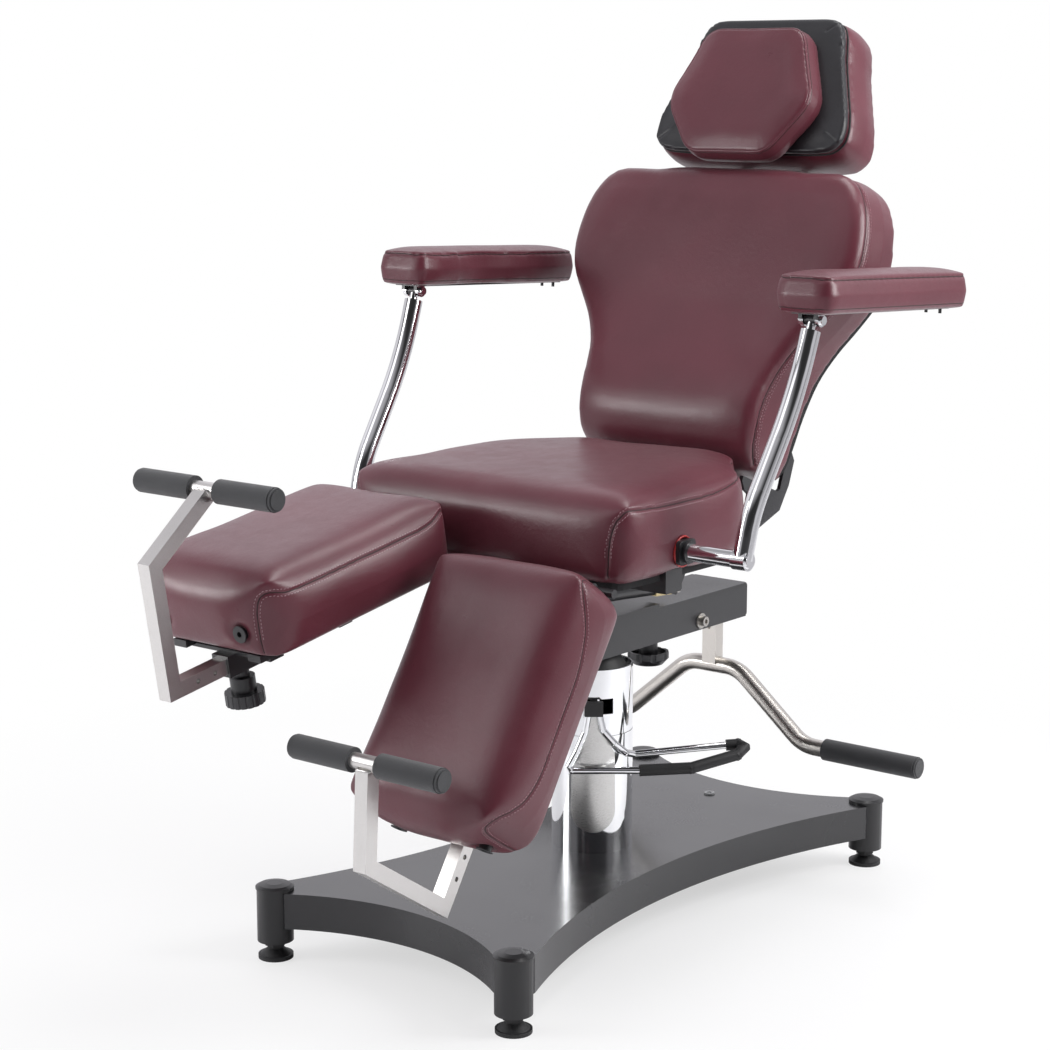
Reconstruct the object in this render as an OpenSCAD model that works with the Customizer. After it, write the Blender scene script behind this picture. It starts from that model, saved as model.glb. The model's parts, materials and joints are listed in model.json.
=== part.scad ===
// Client chair on a hydraulic pedestal, with two leg rests that tilt on their own.
// Millimetres. Origin on the floor under the middle of the base, +Z up,
// the chair faces -Y and +X is the sitter's left.

/* [Base] */
// Half distance between the floor posts, side to side
post_x = 227.5; // [220:0.5:240]
// Half distance between the floor posts, front to back
post_y = 461.5; // [450:0.5:475]
// Radius of a floor post
post_r = 27; // [24:0.5:30]
// Height of the top face of the base plate
plate_top = 105; // [103:1:108]
// Radius of the chrome shroud of the pump
shroud_r = 63; // [62.5:0.1:63.1]

/* [Seat] */
// Half width of the seat cushion
seat_half = 264; // [261:1:266]
// Height of the top of the seat cushion
seat_top = 706; // [690:1:715]
// Height of the underside of the seat cushion
seat_under = 592; // [592:0.5:594]

/* [Back and head] */
// Lean of the back from upright, in degrees
back_tilt = 20.9; // [20:0.1:22]
// Thickness of the back cushion without its board
back_thick = 100; // [90:1:100]
// Lean of the headrest from upright, in degrees
head_tilt = 23.9; // [23:0.1:25]
// Thickness of the neck pillow
pillow_thick = 46; // [30:1:55]

/* [Leg rests] */
// Fall of the raised leg rest below level, in degrees
leg_tilt_r = 9.6; // [2:0.1:20]
// Fall of the lowered leg rest below level, in degrees
leg_tilt_l = 57; // [45:0.5:65]
// Half width of one leg rest on its inner side
leg_half = 126; // [115:1:127]
// How much further a leg cushion reaches on its outer side
leg_more = 22; // [0:1:26]
// Distance from the hinge to the far end of a leg cushion
leg_len = 392; // [385:1:400]
// Thickness of a leg cushion
leg_thick = 112; // [90:1:118]
// Outside size of the square foot bar tube
bar_sq = 22; // [20:0.5:22]

/* [Arms] */
// Length of an arm pad
pad_len = 391; // [360:1:400]
// Thickness of an arm pad
pad_thick = 50; // [44:1:51]
// Radius of the arm tube
arm_r = 14.5; // [11:0.5:15]

/* [Hidden] */
$fn = 48;
fit_gap = 0.05;    // a hole is this much larger in radius than its shaft
joint_lap = 0.4;   // a straight tube runs this far into a bend
bend_slim = 0.03;  // a bend is this much smaller in radius than its tube

pump_place = [0, 12, 0];
pump_turn = 38.9;

// axles that lie along X, and feet of tilted parts, as [y, z]
leg_axle = [-279, 585];
hinge = [205, 600];
arm_shaft = [-124, 622];
pad_eye = [27, 946];
gas_pin = [154, 496];
back_foot = [191, 696];
head_foot = [400, 1165];
head_hinge = [122, 25];  // in the frame of the headrest

// gas spring of the back: sideways place, rise towards the front, length between pins
gas_x = 33;
gas_rise = 4.5;
gas_len = 340;
gas_anchor = gas_pin + gas_len * [-cos(gas_rise), sin(gas_rise)];

burgundy = [0.42, 0.20, 0.25];
black = [0.08, 0.08, 0.09];
chrome = [0.85, 0.86, 0.88];
steel = [0.68, 0.67, 0.65];
zinc = [0.78, 0.68, 0.35];
grey = [0.45, 0.46, 0.48];

// ---- shapes; a range is [low, high] ----
function about(half, middle = 0) = [middle - half, middle + half];
// range on the +X side, or its mirror image when s is -1
function span(s, range) = s > 0 ? range : [-range[1], -range[0]];
function at_x(x, yz) = [x, yz[0], yz[1]];
function turned(p, angle) =
  [p[0] * cos(angle) - p[1] * sin(angle), p[0] * sin(angle) + p[1] * cos(angle)];

// round bar between two points
module rod(from, to, r) {
  line = to - from;
  length = norm(line);
  translate(from) rotate([0, acos(line[2] / length), atan2(line[1], line[0])])
    cylinder(r = r, h = length);
}
// round bars from point to point, each run on past the joints by lap
module rod_chain(path, lap, radii) {
  last = len(path) - 2;
  for (i = [0:last]) {
    step = (path[i + 1] - path[i]) / norm(path[i + 1] - path[i]);
    rod(path[i] - (i > 0 ? lap : 0) * step, path[i + 1] + (i < last ? lap : 0) * step, radii[i]);
  }
}
// round bar along X through the point yz
module xrod(x, yz, r)
  translate(at_x(x[0], yz)) rotate([0, 90, 0]) cylinder(r = r, h = x[1] - x[0]);
// round bar and cone along Z
module zrod(z, r) translate([0, 0, z[0]]) cylinder(r = r, h = z[1] - z[0]);
module cone(z, low_r, high_r)
  translate([0, 0, z[0]]) cylinder(r1 = low_r, r2 = high_r, h = z[1] - z[0]);
module block(x, y, z)
  translate([x[0], y[0], z[0]]) cube([x[1] - x[0], y[1] - y[0], z[1] - z[0]]);
// plate standing in the YZ plane: points are [y, z]
module side_plate(x, points)
  translate([x[0], 0, 0]) rotate([90, 0, 90]) linear_extrude(x[1] - x[0]) polygon(points);

// right half of an outline closed by its mirror image; columns after x are kept
function both_sides(half) = concat(half, [for (i = [len(half) - 1:-1:0])
  concat([-half[i][0]], [for (k = [1:len(half[i]) - 1]) half[i][k]])]);
function bezier(a, corner, b, t) = (1 - t) * (1 - t) * a + 2 * t * (1 - t) * corner + t * t * b;
function xy(p) = [p[0], p[1]];
// polygon from corners [x, y, cut], each rounded from cut before it to cut after it
function rounded(corners, steps = 5) = let (n = len(corners)) [for (i = [0:n - 1])
  let (corner = xy(corners[i]),
       before = xy(corners[(i + n - 1) % n]) - corner,
       after = xy(corners[(i + 1) % n]) - corner,
       a = corner + before / norm(before) * corners[i][2],
       b = corner + after / norm(after) * corners[i][2])
  for (k = [0:steps]) bezier(a, corner, b, k / steps)];
function round_rect(half_x, half_y, cut) =
  rounded(both_sides([[half_x, -half_y, cut], [half_x, half_y, cut]]));
// smooth curve through control points
function catmull_rom(a, b, c, d, t) = 0.5 * ((2 * b) + (c - a) * t
  + (2 * a - 5 * b + 4 * c - d) * t * t + (3 * b - a - 3 * c + d) * t * t * t);
function curve(points, steps) = let (last = len(points) - 1) concat(
  [for (i = [0:last - 1]) for (k = [0:steps - 1])
    catmull_rom(points[max(i - 1, 0)], points[i], points[i + 1], points[min(i + 2, last)],
      k / steps)],
  [points[last]]);

// ---- frames; s is 1 on the sitter's left and -1 on the right ----
module at_pump() translate(pump_place) rotate([0, 0, pump_turn]) children();
module at_back() translate(at_x(0, back_foot)) rotate([-back_tilt, 0, 0]) children();
module at_head() translate(at_x(0, head_foot)) rotate([-head_tilt, 0, 0]) children();
module at_leg(s)
  translate(at_x(s * 138, leg_axle)) rotate([s > 0 ? leg_tilt_l : leg_tilt_r, 0, 0]) children();
// origin on the top face of an arm pad
module at_pad(s) translate([s * pad_x, 0, 1009.5]) rotate([-2.7, 0, 0]) children();
// z runs from the anchor on the seat to the clevis
module at_gas() translate(at_x(gas_x, gas_anchor)) rotate([-90 - gas_rise, 0, 0]) children();
module on_side(s) mirror([s < 0 ? 1 : 0, 0, 0]) children();
module on_both_sides() for (s = [-1, 1]) on_side(s) children();
module at_posts() for (sx = [-1, 1], sy = [-1, 1])
  translate([sx * post_x, sy * post_y, 0]) children();

// ---- base ----
plate_edge = [15.5, 8.5];  // reach of the plate past the post centres
plate_high = 54;
plate_wall = 5;
plate_waist = [155, 411];  // where the hollow edges cross the axes
side_curve_r = 1115;
front_curve_r = 367.5;
post_top = 107;
plug_y = 336;
plug_r = 5;
foot_screw_r = 5;

// outline of the plate, drawn in by inset
module plate_outline(inset) difference() {
  square([2 * (post_x + plate_edge[0] - inset), 2 * (post_y + plate_edge[1] - inset)],
    center = true);
  for (s = [-1, 1]) {
    translate([0, s * (plate_waist[1] + front_curve_r)])
      circle(r = front_curve_r + inset, $fn = 96);
    translate([s * (plate_waist[0] + side_curve_r), 0])
      circle(r = side_curve_r + inset, $fn = 96);
  }
  at_posts() circle(r = post_r + inset);
}
module base_plate() color(black) difference() {
  translate([0, 0, plate_top - plate_high]) linear_extrude(plate_high) plate_outline(0);
  translate([0, 0, plate_top - plate_high - 6]) linear_extrude(plate_high + 6 - plate_wall)
    plate_outline(plate_wall);
  for (s = [-1, 1])
    translate([0, s * plug_y, 0]) zrod(about(10, plate_top), plug_r + fit_gap);
}
module base_posts() color(black) at_posts() difference() {
  zrod([27, post_top], post_r);
  zrod([20, 70], foot_screw_r + fit_gap);
}
module post_caps() color(black) at_posts() translate([0, 0, post_top]) {
  zrod([0, 3], post_r + 1.5);
  cone([3, 6], post_r + 1.5, post_r - 4);
  cone([6, 8], post_r - 4, post_r - 15);
}
module plate_plugs() color(grey) for (s = [-1, 1]) translate([0, s * plug_y, plate_top]) {
  difference() {
    zrod([0, 2.5], 9);
    zrod([1, 4], 4, $fn = 6);
  }
  zrod([-8, 0], plug_r);
}
// levelling foot with a hexagon nut and a screw
module foot(sx, sy) color(black) translate([sx * post_x, sy * post_y, 0]) {
  zrod([0, 6], 26);
  cone([6, 15], 23, 12);
  zrod([15, 19], 12);
  zrod([19, 25], 16, $fn = 6);
  zrod([25, 60], foot_screw_r);
}
module foot_fl() foot(1, -1);
module foot_fr() foot(-1, -1);
module foot_rl() foot(1, 1);
module foot_rr() foot(-1, 1);

// ---- pump ----
shroud_top = 291;
column_r = 30;   // lower part of the lift column
spigot_r = 22;   // its upper end, inside the channel
pedal_pin_z = 255;
pedal_pin_r = 5;

module pump_cylinder() color(grey) difference() {
  translate(pump_place) union() {
    translate([0, 0, plate_top]) cylinder(r = 58, h = 7);
    translate([0, 0, plate_top]) cylinder(r = 38, h = 195);
    // pin that carries the pedal clip
    rotate([0, 0, pump_turn]) rotate([90, 0, 0]) translate([0, pedal_pin_z, 36])
      cylinder(r = pedal_pin_r, h = 17);
  }
  translate(pump_place + [0, 0, plate_top + 7]) cylinder(r = column_r + fit_gap, h = 200);
}
module pedestal_shroud() color(chrome) translate(pump_place + [0, 0, plate_top]) difference() {
  zrod([0, shroud_top - plate_top], shroud_r);
  zrod([-1, 199], 60);
}
module pedestal_sleeve() color(chrome) at_pump() difference() {
  zrod([shroud_top + 0.5, 395], 62.4);
  zrod([290, 400], 59.5);
  block([-12, 30], [-80, -40], [326, 350]);
}
module pedestal_boot() color(black) translate(pump_place) difference() {
  union() {
    zrod([380, 388], 59.4);
    cone([388, 409], 55, 41);
  }
  zrod([370, 420], column_r + fit_gap);
}
// right edge of the tongue above its round end, as [x, z]
tongue_edge = [[33, 262], [24, 284], [15, 300], [13, 330]];
module guard_tongue() color(steel) at_pump() intersection() {
  difference() {
    zrod([130, 326], shroud_r + 3.1, $fn = 96);
    zrod([120, 340], shroud_r + 0.15, $fn = 96);
  }
  rotate([90, 0, 0]) translate([0, 0, 20]) linear_extrude(80) polygon(concat(
    [for (i = [3:-1:0]) [-tongue_edge[i][0], tongue_edge[i][1]]
      + (i == 1 || i == 2 || i == 3 || i == 0 ? [0, 0] : [0, 0])],
    [for (a = [180:15:360]) [34 * cos(a), 173 + 34 * sin(a)]],
    tongue_edge));
}
// wires and sleeve in the frame of the pump, as [x, y, z], -y outwards
pedal_wire_low = [[-9, -72.5, 327], [-13, -72.5, 302], [-26, -73, 270], [-37, -74, 249],
  [-33, -74, 241], [70, -72.5, 241]];
pedal_wire_high = [[9, -72.5, 327], [14, -72.5, 304], [32, -67, 282], [50, -54, 264],
  [63, -38, 257], [207, -16, 265]];
pedal_sleeve_path = [[70, -72.5, 241], [150, -66, 243], [222, -38, 256], [234, -26, 264],
  [226, -15, 266], [207, -16, 265]];
module pump_pedal() color(chrome) at_pump() for (wire = [pedal_wire_low, pedal_wire_high])
  rod_chain(wire, lap = 2.5, radii = [5.5, 5.4, 5.5, 5.4, 5.5]);
module pedal_sleeve() color(black) at_pump()
  rod_chain(pedal_sleeve_path, lap = 4, radii = [for (i = [0:4]) 9 - 0.06 * i]);
module pedal_clip() color(black) at_pump() difference() {
  union() {
    block(about(14), [-79, -66], [327, 349]);
    block(about(5), [-70, -42], [330, 346]);
    block(about(6), [-50, -42], [262, 346]);
    translate([0, -42, pedal_pin_z]) rotate([90, 0, 0]) cylinder(r = 11, h = 8);
  }
  translate([0, -30, pedal_pin_z]) rotate([90, 0, 0])
    cylinder(r = pedal_pin_r + fit_gap, h = 30);
}
module lift_column() color(chrome) translate(pump_place) {
  zrod([150, 413.4], column_r);
  zrod([413, 462], spigot_r);
}

// ---- swivelling beam ----
channel_half = 54;
bar_pivot = [225, 429];  // bolt that carries the rear bar, as [y, z]
disc_axle = [296, 429];
pivot_r = 6;
swivel_knob_y = 158;
swivel_stem_r = 6;

module main_channel() color(black) difference() {
  union() {
    difference() {
      block(about(channel_half), [-170, 355], [414, 470]);
      block(about(channel_half - 4), [-166, 357], [418, 466]);
    }
    // rear end cap, in two steps
    translate([0, 355, 442]) rotate([-90, 0, 0]) linear_extrude(3)
      polygon(round_rect(channel_half, 28, 6));
    translate([0, 358, 442]) rotate([-90, 0, 0]) linear_extrude(3)
      polygon(round_rect(channel_half - 4, 24, 8));
    translate(pump_place) zrod([418, 466], 40);
    translate([0, swivel_knob_y, 0]) zrod([418, 428], 16);
  }
  translate(pump_place) zrod([410, 464], spigot_r + fit_gap);
  translate([0, swivel_knob_y, 0]) zrod([410, 440], swivel_stem_r + fit_gap);
  // slot in the underside for the rear bar
  block(about(22), [236, 354.5], [410, 420]);
  xrod(about(60), bar_pivot, pivot_r + fit_gap);
}
module channel_bolts() color(steel) {
  xrod(about(57), bar_pivot, pivot_r);
  for (s = [-1, 1]) difference() {
    union() {
      xrod(span(s, [54, 56.5]), bar_pivot, 12.5);
      xrod(span(s, [56, 65]), bar_pivot, 8);
    }
    xrod(span(s, [59, 66]), bar_pivot, 4, $fn = 6);
  }
}
module seat_riser() color(black) difference() {
  union() {
    block(about(channel_half), [-165, 112], [470, 476]);
    for (s = [-1, 1]) block(span(s, [channel_half - 6, channel_half]), [-165, -20], [475, 551]);
    block(about(channel_half), [-165, 40], [550, 556]);
    block(about(channel_half), [-165, -159], [475, 500]);
  }
  block([14, 60], [-170, -146], [502, 560]);
  // slot for the gas spring when the back is down
  block([16.5, 48], [-116, 45], [545, 560]);
}
module swivel_notches()
  for (k = [0:8]) rotate([0, 0, k * 40]) translate([36, 0, 0]) zrod([350, 410], 6);
module swivel_knob() color(black) translate([0, swivel_knob_y, 0]) {
  zrod([376, 426], swivel_stem_r);
  zrod([384, 413], 15);
  difference() {
    cone([364, 374], 24, 33);
    swivel_notches();
  }
  difference() {
    zrod([374, 384], 33);
    // ring-shaped recess round the hub
    difference() {
      zrod([377, 397], 28);
      zrod([376, 406], 15);
    }
    swivel_notches();
  }
}

// rear bar: level in the middle, sloping down on both sides to level ends
bar_y = 343;
bar_z = 327;
bar_r = 13.5;
bar_flat = 27;  // half length of the level middle
slope_run = 95;
bar_bend_r = 60;
bar_bend = 40;
bend_reach = bar_bend_r * sin(bar_bend);
bend_fall = bar_bend_r * (1 - cos(bar_bend));
bar_end_z = bar_z - 2 * bend_fall - slope_run * tan(bar_bend);

module rear_bend(x, z, start)
  translate([x, bar_y, z]) rotate([90, 0, 0]) rotate([0, 0, start])
    rotate_extrude(angle = bar_bend, $fn = 96)
      translate([bar_bend_r, 0]) circle(r = bar_r - bend_slim, $fn = 48);
module rear_bar_half() {
  slope_top = [bar_flat + bend_reach, bar_y, bar_z - bend_fall];
  slope_foot = slope_top + slope_run * [1, 0, -tan(bar_bend)];
  end_x = slope_foot[0] + bend_reach;
  lap = joint_lap * [cos(bar_bend), 0, -sin(bar_bend)];
  rear_bend(bar_flat, bar_z - bar_bend_r, 90 - bar_bend);
  rod(slope_top - lap, slope_foot + lap, bar_r);
  rear_bend(end_x, bar_end_z + bar_bend_r, 270 - bar_bend);
  xrod([end_x - joint_lap, 388], [bar_y, bar_end_z], bar_r);
}
module rear_bar() color(steel) {
  on_both_sides() rear_bar_half();
  xrod(about(bar_flat + joint_lap), [bar_y, bar_z], bar_r);
  // hanger up to the pivot and the disc
  difference() {
    union() {
      block(about(13), [bar_y - 15, bar_y + 7], [bar_z + 4, 440]);
      block(about(8), [bar_pivot[0], bar_y - 10], [420, 438]);
      xrod(about(12), bar_pivot, 10.4);
      xrod(about(8), disc_axle, 15);
    }
    for (axle = [bar_pivot, disc_axle]) xrod(about(40), axle, pivot_r + fit_gap);
    translate([0, bar_y - 30, 392]) rotate([-90, 0, 0]) cylinder(r = 3, h = 60);
  }
}
module rear_disc() color(zinc) {
  xrod(about(8), disc_axle, pivot_r);
  for (s = [-1, 1]) xrod(span(s, [8, 18]), disc_axle, 27);
}
// rubber grip over a bar along X, its closed and stepped end at the higher x
module grip(x, yz, r, bore_r) difference() {
  union() {
    xrod([x[0], x[1] - 5], yz, r);
    xrod([x[1] - 5.01, x[1] - 1.5], yz, r - 1.2);
    xrod([x[1] - 1.6, x[1]], yz, r - 4);
  }
  xrod([x[0] - 1, x[1] - 3.9], yz, bore_r);
}
module rear_grips() color(black) on_both_sides() grip([220, 392], [bar_y, bar_end_z], 17.5, bar_r);

// ---- seat ----
frame_z = [556, 579.5];
shaft_r = 12.5;
leg_axle_r = 6.5;
hinge_r = 10;
// right halves of the outlines, front to rear: [x, y, corner cut]
seat_half_outline = [[seat_half, -267, 46], [seat_half, 16, 18], [250, 55, 22],
  [168, 148, 12], [160, 172, 8]];
board_half_outline = [[240, -252, 30], [240, 30, 20], [150, 140, 8], [146, 160, 5]];

// room at the rear for the gas spring lever
module lever_pocket(top) block([4, 62], [78, 200], [570, top]);
module shaft_pocket(s, z) block(span(s, [204, 252]), about(24, arm_shaft[0]), z);
module seat_frame() color(black) difference() {
  union() {
    for (s = [-1, 1]) {
      block(span(s, [80, 106]), [-258, 186], frame_z);
      // lug of the back hinge
      side_plate(span(s, [84, 96]), [[150, 557], [214, 585], [214, 612], [198, 612],
        [190, 578], [150, 578]]);
      // carrier of the arm shaft
      block(span(s, [100, 248]), about(18, arm_shaft[0]), [560, 579.5]);
      block(span(s, [208, 248]), about(20, arm_shaft[0]), [562, 642]);
    }
    for (y = [[-258, -234], [-100, -76], [42, 62]]) block(about(100), y, frame_z);
    // leg rest axle and its arms
    xrod(about(258), leg_axle, leg_axle_r);
    for (x = [-112, -8, 96]) {
      side_plate([x, x + 16], [[-283, 577], [-262, 560], [-240, 557], [-240, 579],
        [-266, 579], [-272, 590]]);
      xrod([x, x + 16], leg_axle, 10);
    }
    // back hinge axle
    xrod(about(162), hinge, hinge_r);
    // anchor of the gas spring
    for (x = [gas_x - 16, gas_x + 8])
      side_plate([x, x + 8], [[-200, 557], [-195, 512], [-172, 512], [-150, 557],
        [-150, 579], [-200, 579]]);
    block(about(16, gas_x), [-236, -150], [557, 579]);
    xrod(about(14, gas_x), gas_anchor, 4);
  }
  for (s = [-1, 1]) xrod(span(s, [200, 260]), arm_shaft, shaft_r + fit_gap);
  block([16.5, 49.5], [30, 75], [550, 582]);
}
module seat_board() color(black) difference() {
  translate([0, 0, 580]) linear_extrude(seat_under - 580)
    polygon(rounded(both_sides(board_half_outline)));
  for (s = [-1, 1]) shaft_pocket(s, [570, 600]);
  lever_pocket(600);
}
module seat_cushion() color(burgundy) difference() {
  translate([0, 0, seat_under + 0.2]) linear_extrude(seat_top - seat_under)
    polygon(rounded(both_sides(seat_half_outline)));
  for (s = [-1, 1]) {
    shaft_pocket(s, [580, 647]);
    xrod(span(s, [200, 270]), arm_shaft, shaft_r + 1);
  }
  lever_pocket(626);
}
module arm_bushings() color(black) on_both_sides() difference() {
  union() {
    translate(at_x(seat_half + 0.3, arm_shaft)) rotate([90, 0, 90]) linear_extrude(7)
      polygon(round_rect(20, 18, 9));
    xrod([seat_half + 7, seat_half + 13], arm_shaft, 16);
  }
  xrod([seat_half - 5, seat_half + 20], arm_shaft, shaft_r + 0.1);
}

// ---- arms: shaft, bent tube, and the eye that carries the pad ----
pad_x = 375;
arm_x = 364;
arm_lean = 1.9;  // outward lean of the tube
// straight runs of the tube, bottom to top: tilt to the rear, length
low_tilt = 14;
mid_tilt = 33;
top_tilt = 19;
low_run = 32;
mid_run = 80;
top_run = 20;
low_bend_r = 200;
top_bend_r = 600;
eye_pin_r = 4;

function along(tilt) = [0, sin(tilt), cos(tilt)];
function across(tilt) = [0, cos(tilt), -sin(tilt)];
// bend that starts at a point and a tilt; a positive turn leans further back
module arm_bend(start, tilt, turn, radius)
  translate(start + sign(turn) * radius * across(tilt)) rotate([90, 0, 90])
    rotate([0, 0, turn > 0 ? 180 - tilt - turn : -tilt])
      rotate_extrude(angle = abs(turn), $fn = 360)
        translate([radius, 0]) circle(r = arm_r - bend_slim, $fn = 48);
module arm_tube() {
  low_end = low_run * along(low_tilt);
  mid_start = low_end + low_bend_r * (across(low_tilt) - across(mid_tilt));
  mid_end = mid_start + mid_run * along(mid_tilt);
  top_start = mid_end - top_bend_r * (across(mid_tilt) - across(top_tilt));
  rod([0, 0, 0], low_end + joint_lap * along(low_tilt), arm_r);
  arm_bend(low_end, low_tilt, mid_tilt - low_tilt, low_bend_r);
  rod(mid_start - joint_lap * along(mid_tilt), mid_end + joint_lap * along(mid_tilt), arm_r);
  arm_bend(mid_end, mid_tilt, top_tilt - mid_tilt, top_bend_r);
  rod(top_start - joint_lap * along(top_tilt), top_start + top_run * along(top_tilt), arm_r);
}
module arm_post(s) color(chrome) on_side(s) difference() {
  union() {
    xrod([210, 354], arm_shaft, shaft_r);
    xrod([352, 375], arm_shaft, 14.7);
    xrod([374, 378], arm_shaft, 11);
    translate(at_x(arm_x, arm_shaft)) rotate([0, arm_lean, 0]) arm_tube();
    rod(at_x(374.2, pad_eye - [7, 21]), at_x(pad_x, pad_eye), 6.5);
    xrod(about(9, pad_x), pad_eye, 7.5);
  }
  xrod([350, 400], pad_eye, eye_pin_r + fit_gap);
}
module arm_post_l() arm_post(1);
module arm_post_r() arm_post(-1);
// plate, cheeks and pin under the pad
module arm_fork(s) color(black) {
  at_pad(s) {
    block(about(24), [12, pad_len - 12], [-pad_thick - 4, -pad_thick - 0.3]);
    for (k = [-1, 1])
      block(span(k, [9.6, 16]), [17.5, 36.5], [-pad_thick - 11, -pad_thick - 3]);
    for (x = [-14, 10])
      translate([x, pad_len - 14, -pad_thick - 12]) cylinder(r = 2.5, h = 10);
  }
  translate([s * pad_x, 0, 0]) {
    xrod(about(19), pad_eye, eye_pin_r);
    for (k = [-1, 1]) {
      xrod(span(k, [9.9, 15.6]), pad_eye, 9.6);
      xrod(span(k, [15.2, 20]), pad_eye, 6.5);
    }
  }
}
module arm_fork_l() arm_fork(1);
module arm_fork_r() arm_fork(-1);
// inner edge of the left pad, front to rear, as [x, y] on a pad 385 long
pad_inner_edge = curve([[-41, 3], [-45, 40], [-38, 110], [-36, 170], [-44, 250], [-48, 330],
  [-42, 382]], 5);
module pad_outline() polygon(concat(
  [for (p = pad_inner_edge) [p[0], p[1] * pad_len / 385]],
  [[-34, pad_len * 0.998], [-24, pad_len]],
  [for (k = [0:6]) bezier([34, pad_len], [49, pad_len], [49, pad_len - 15], k / 6)],
  [for (k = [0:6]) bezier([49, 14], [49, -5], [28, -5], k / 6)],
  [[-24, -5], [-36, -2]]));
module arm_pad(s) color(burgundy) at_pad(s)
  translate([0, 0, -pad_thick]) linear_extrude(pad_thick) on_side(s) pad_outline();
module arm_pad_l() arm_pad(1);
module arm_pad_r() arm_pad(-1);

// ---- gas spring of the back ----
gas_rod_r = 5;
module gas_rod() color(chrome) at_gas() difference() {
  union() {
    xrod(about(6), [0, 0], 10);
    zrod([0, 146], gas_rod_r);
    zrod([138, 146], 9.95);
  }
  xrod(about(8), [0, 0], 4 + fit_gap);
}
module gas_cylinder() color(black) at_gas() difference() {
  zrod([115, 303], 13);
  zrod([110, 140], gas_rod_r + fit_gap);
  zrod([128, 293], 10);
}
module gas_clevis() color(zinc) at_gas() difference() {
  block(about(12), about(13), [303, 352]);
  xrod(about(20), [0, gas_len], 5);
  block(about(7), about(20), [320, 360]);
}

// ---- back; its own frame has x, depth to the rear and height up the back ----
// left edge of the back, bottom to top: [x, height]
back_half_outline = curve([[152, -10], [165, 6], [173, 45], [180, 100], [194, 160],
  [218, 210], [249, 257], [274, 302], [282, 345], [277, 398], [262, 440], [240, 467],
  [202, 482], [150, 484]], 4);
// the front swells forward at the waist and draws back under it: [depth, height]
back_front = curve([[34, -12], [8, 0], [-14, 20], [-25, 50], [-28, 85], [-22, 130],
  [-10, 180], [-2, 230], [0, 280], [0, 440], [3, 486]], 4);
hub = turned(hinge - back_foot, back_tilt);  // the seat hinge as [depth, height]
back_plate_y = [back_thick + 12.3, back_thick + 17];
head_rod_x = 60;
head_rod_y = 132;
head_rod_r = 7;
lever_pin_r = 5;
lever_x = [12, 47];  // lower x of each lever plate
lever_wide = 7;
lever_outline = [hinge + [15, -6], hinge + [-6, -60], gas_pin + [13, -5], gas_pin + [3, -13],
  gas_pin + [-9, -9], gas_pin + [-13, 2], gas_pin + [-2, 40], hinge + [-15, 4],
  hinge + [0, 12]];

module back_outline() polygon(both_sides(back_half_outline));
module back_frame() color(grey) difference() {
  union() {
    at_back() {
      block(about(98), back_plate_y, [14, 330]);
      block(about(80), back_plate_y, [329, 462]);
      // inner and outer brackets down to the hinge
      for (x = [-71, 64.9])
        side_plate([x, x + 6], [hub + [-12, 8], [60, -98], [back_thick + 25, -44],
          [back_thick + 42, 0], [back_thick + 42, 60], [back_thick + 13, 76],
          [back_thick + 13, -12], [back_thick, -22]]);
      for (s = [-1, 1]) {
        side_plate(span(s, [150, 156]), [[3, -17], [3, -25], [14, -36], [30, -40],
          hub + [-14, 6], [60, -98], [back_thick + 25, -44], [back_thick + 36, 0],
          [back_thick + 36, 40], [back_thick + 13, 60], [back_thick + 13, -12],
          [back_thick + 8, -17]]);
        block(span(s, [92, 156]), back_plate_y, [16, 56]);
      }
      // tubes that hold the headrest rods
      for (x = about(head_rod_x)) {
        block(about(8, x), [back_thick + 16, back_thick + 24], [205, 465]);
        translate([x, head_rod_y, 0]) zrod([200, 470], 12);
      }
    }
    xrod(about(71), hinge, 15);
    for (s = [-1, 1]) xrod(span(s, [150, 156]), hinge, 20);
    // lever of the gas spring
    for (x = lever_x) side_plate([x, x + lever_wide], lever_outline);
  }
  xrod(about(200), hinge, hinge_r + fit_gap);
  at_back() for (x = about(head_rod_x))
    translate([x, head_rod_y, 0]) zrod([150, 550], head_rod_r + fit_gap);
  xrod([0, 70], gas_pin, lever_pin_r + fit_gap);
}
module back_bolts() color(steel) {
  for (x = lever_x) xrod([x, x + lever_wide], gas_pin, lever_pin_r);
  difference() {
    xrod([54, 61], gas_pin, 8);
    xrod([57, 64], gas_pin, 4, $fn = 6);
  }
  xrod([6, 12], gas_pin, 8);
}
module back_board() color(black) at_back()
  translate([0, back_thick + 12, 0]) rotate([90, 0, 0]) linear_extrude(11.8)
    translate([0, 10]) scale([0.95, 0.955]) back_outline();
module back_cushion() color(burgundy) at_back() intersection() {
  translate([0, back_thick, 0]) rotate([90, 0, 0]) linear_extrude(back_thick + 40)
    back_outline();
  side_plate(about(300), concat(back_front, [[back_thick + 1, 490], [back_thick + 1, -14]]));
}

// ---- headrest ----
// left edge, bottom to top: [x, height]
head_half_outline = curve([[120, 0], [158, 3], [178, 16], [184, 36], [180, 66], [165, 112],
  [149, 160], [138, 204], [125, 227], [98, 234]], 4);
// right half of the pillow, bottom to top: [x, height, corner cut]
pillow_half_outline = [[76, -108, 22], [140, -18, 26], [90, 108, 24]];
head_panel_thick = 15.8;
head_pin_r = 5;

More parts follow.
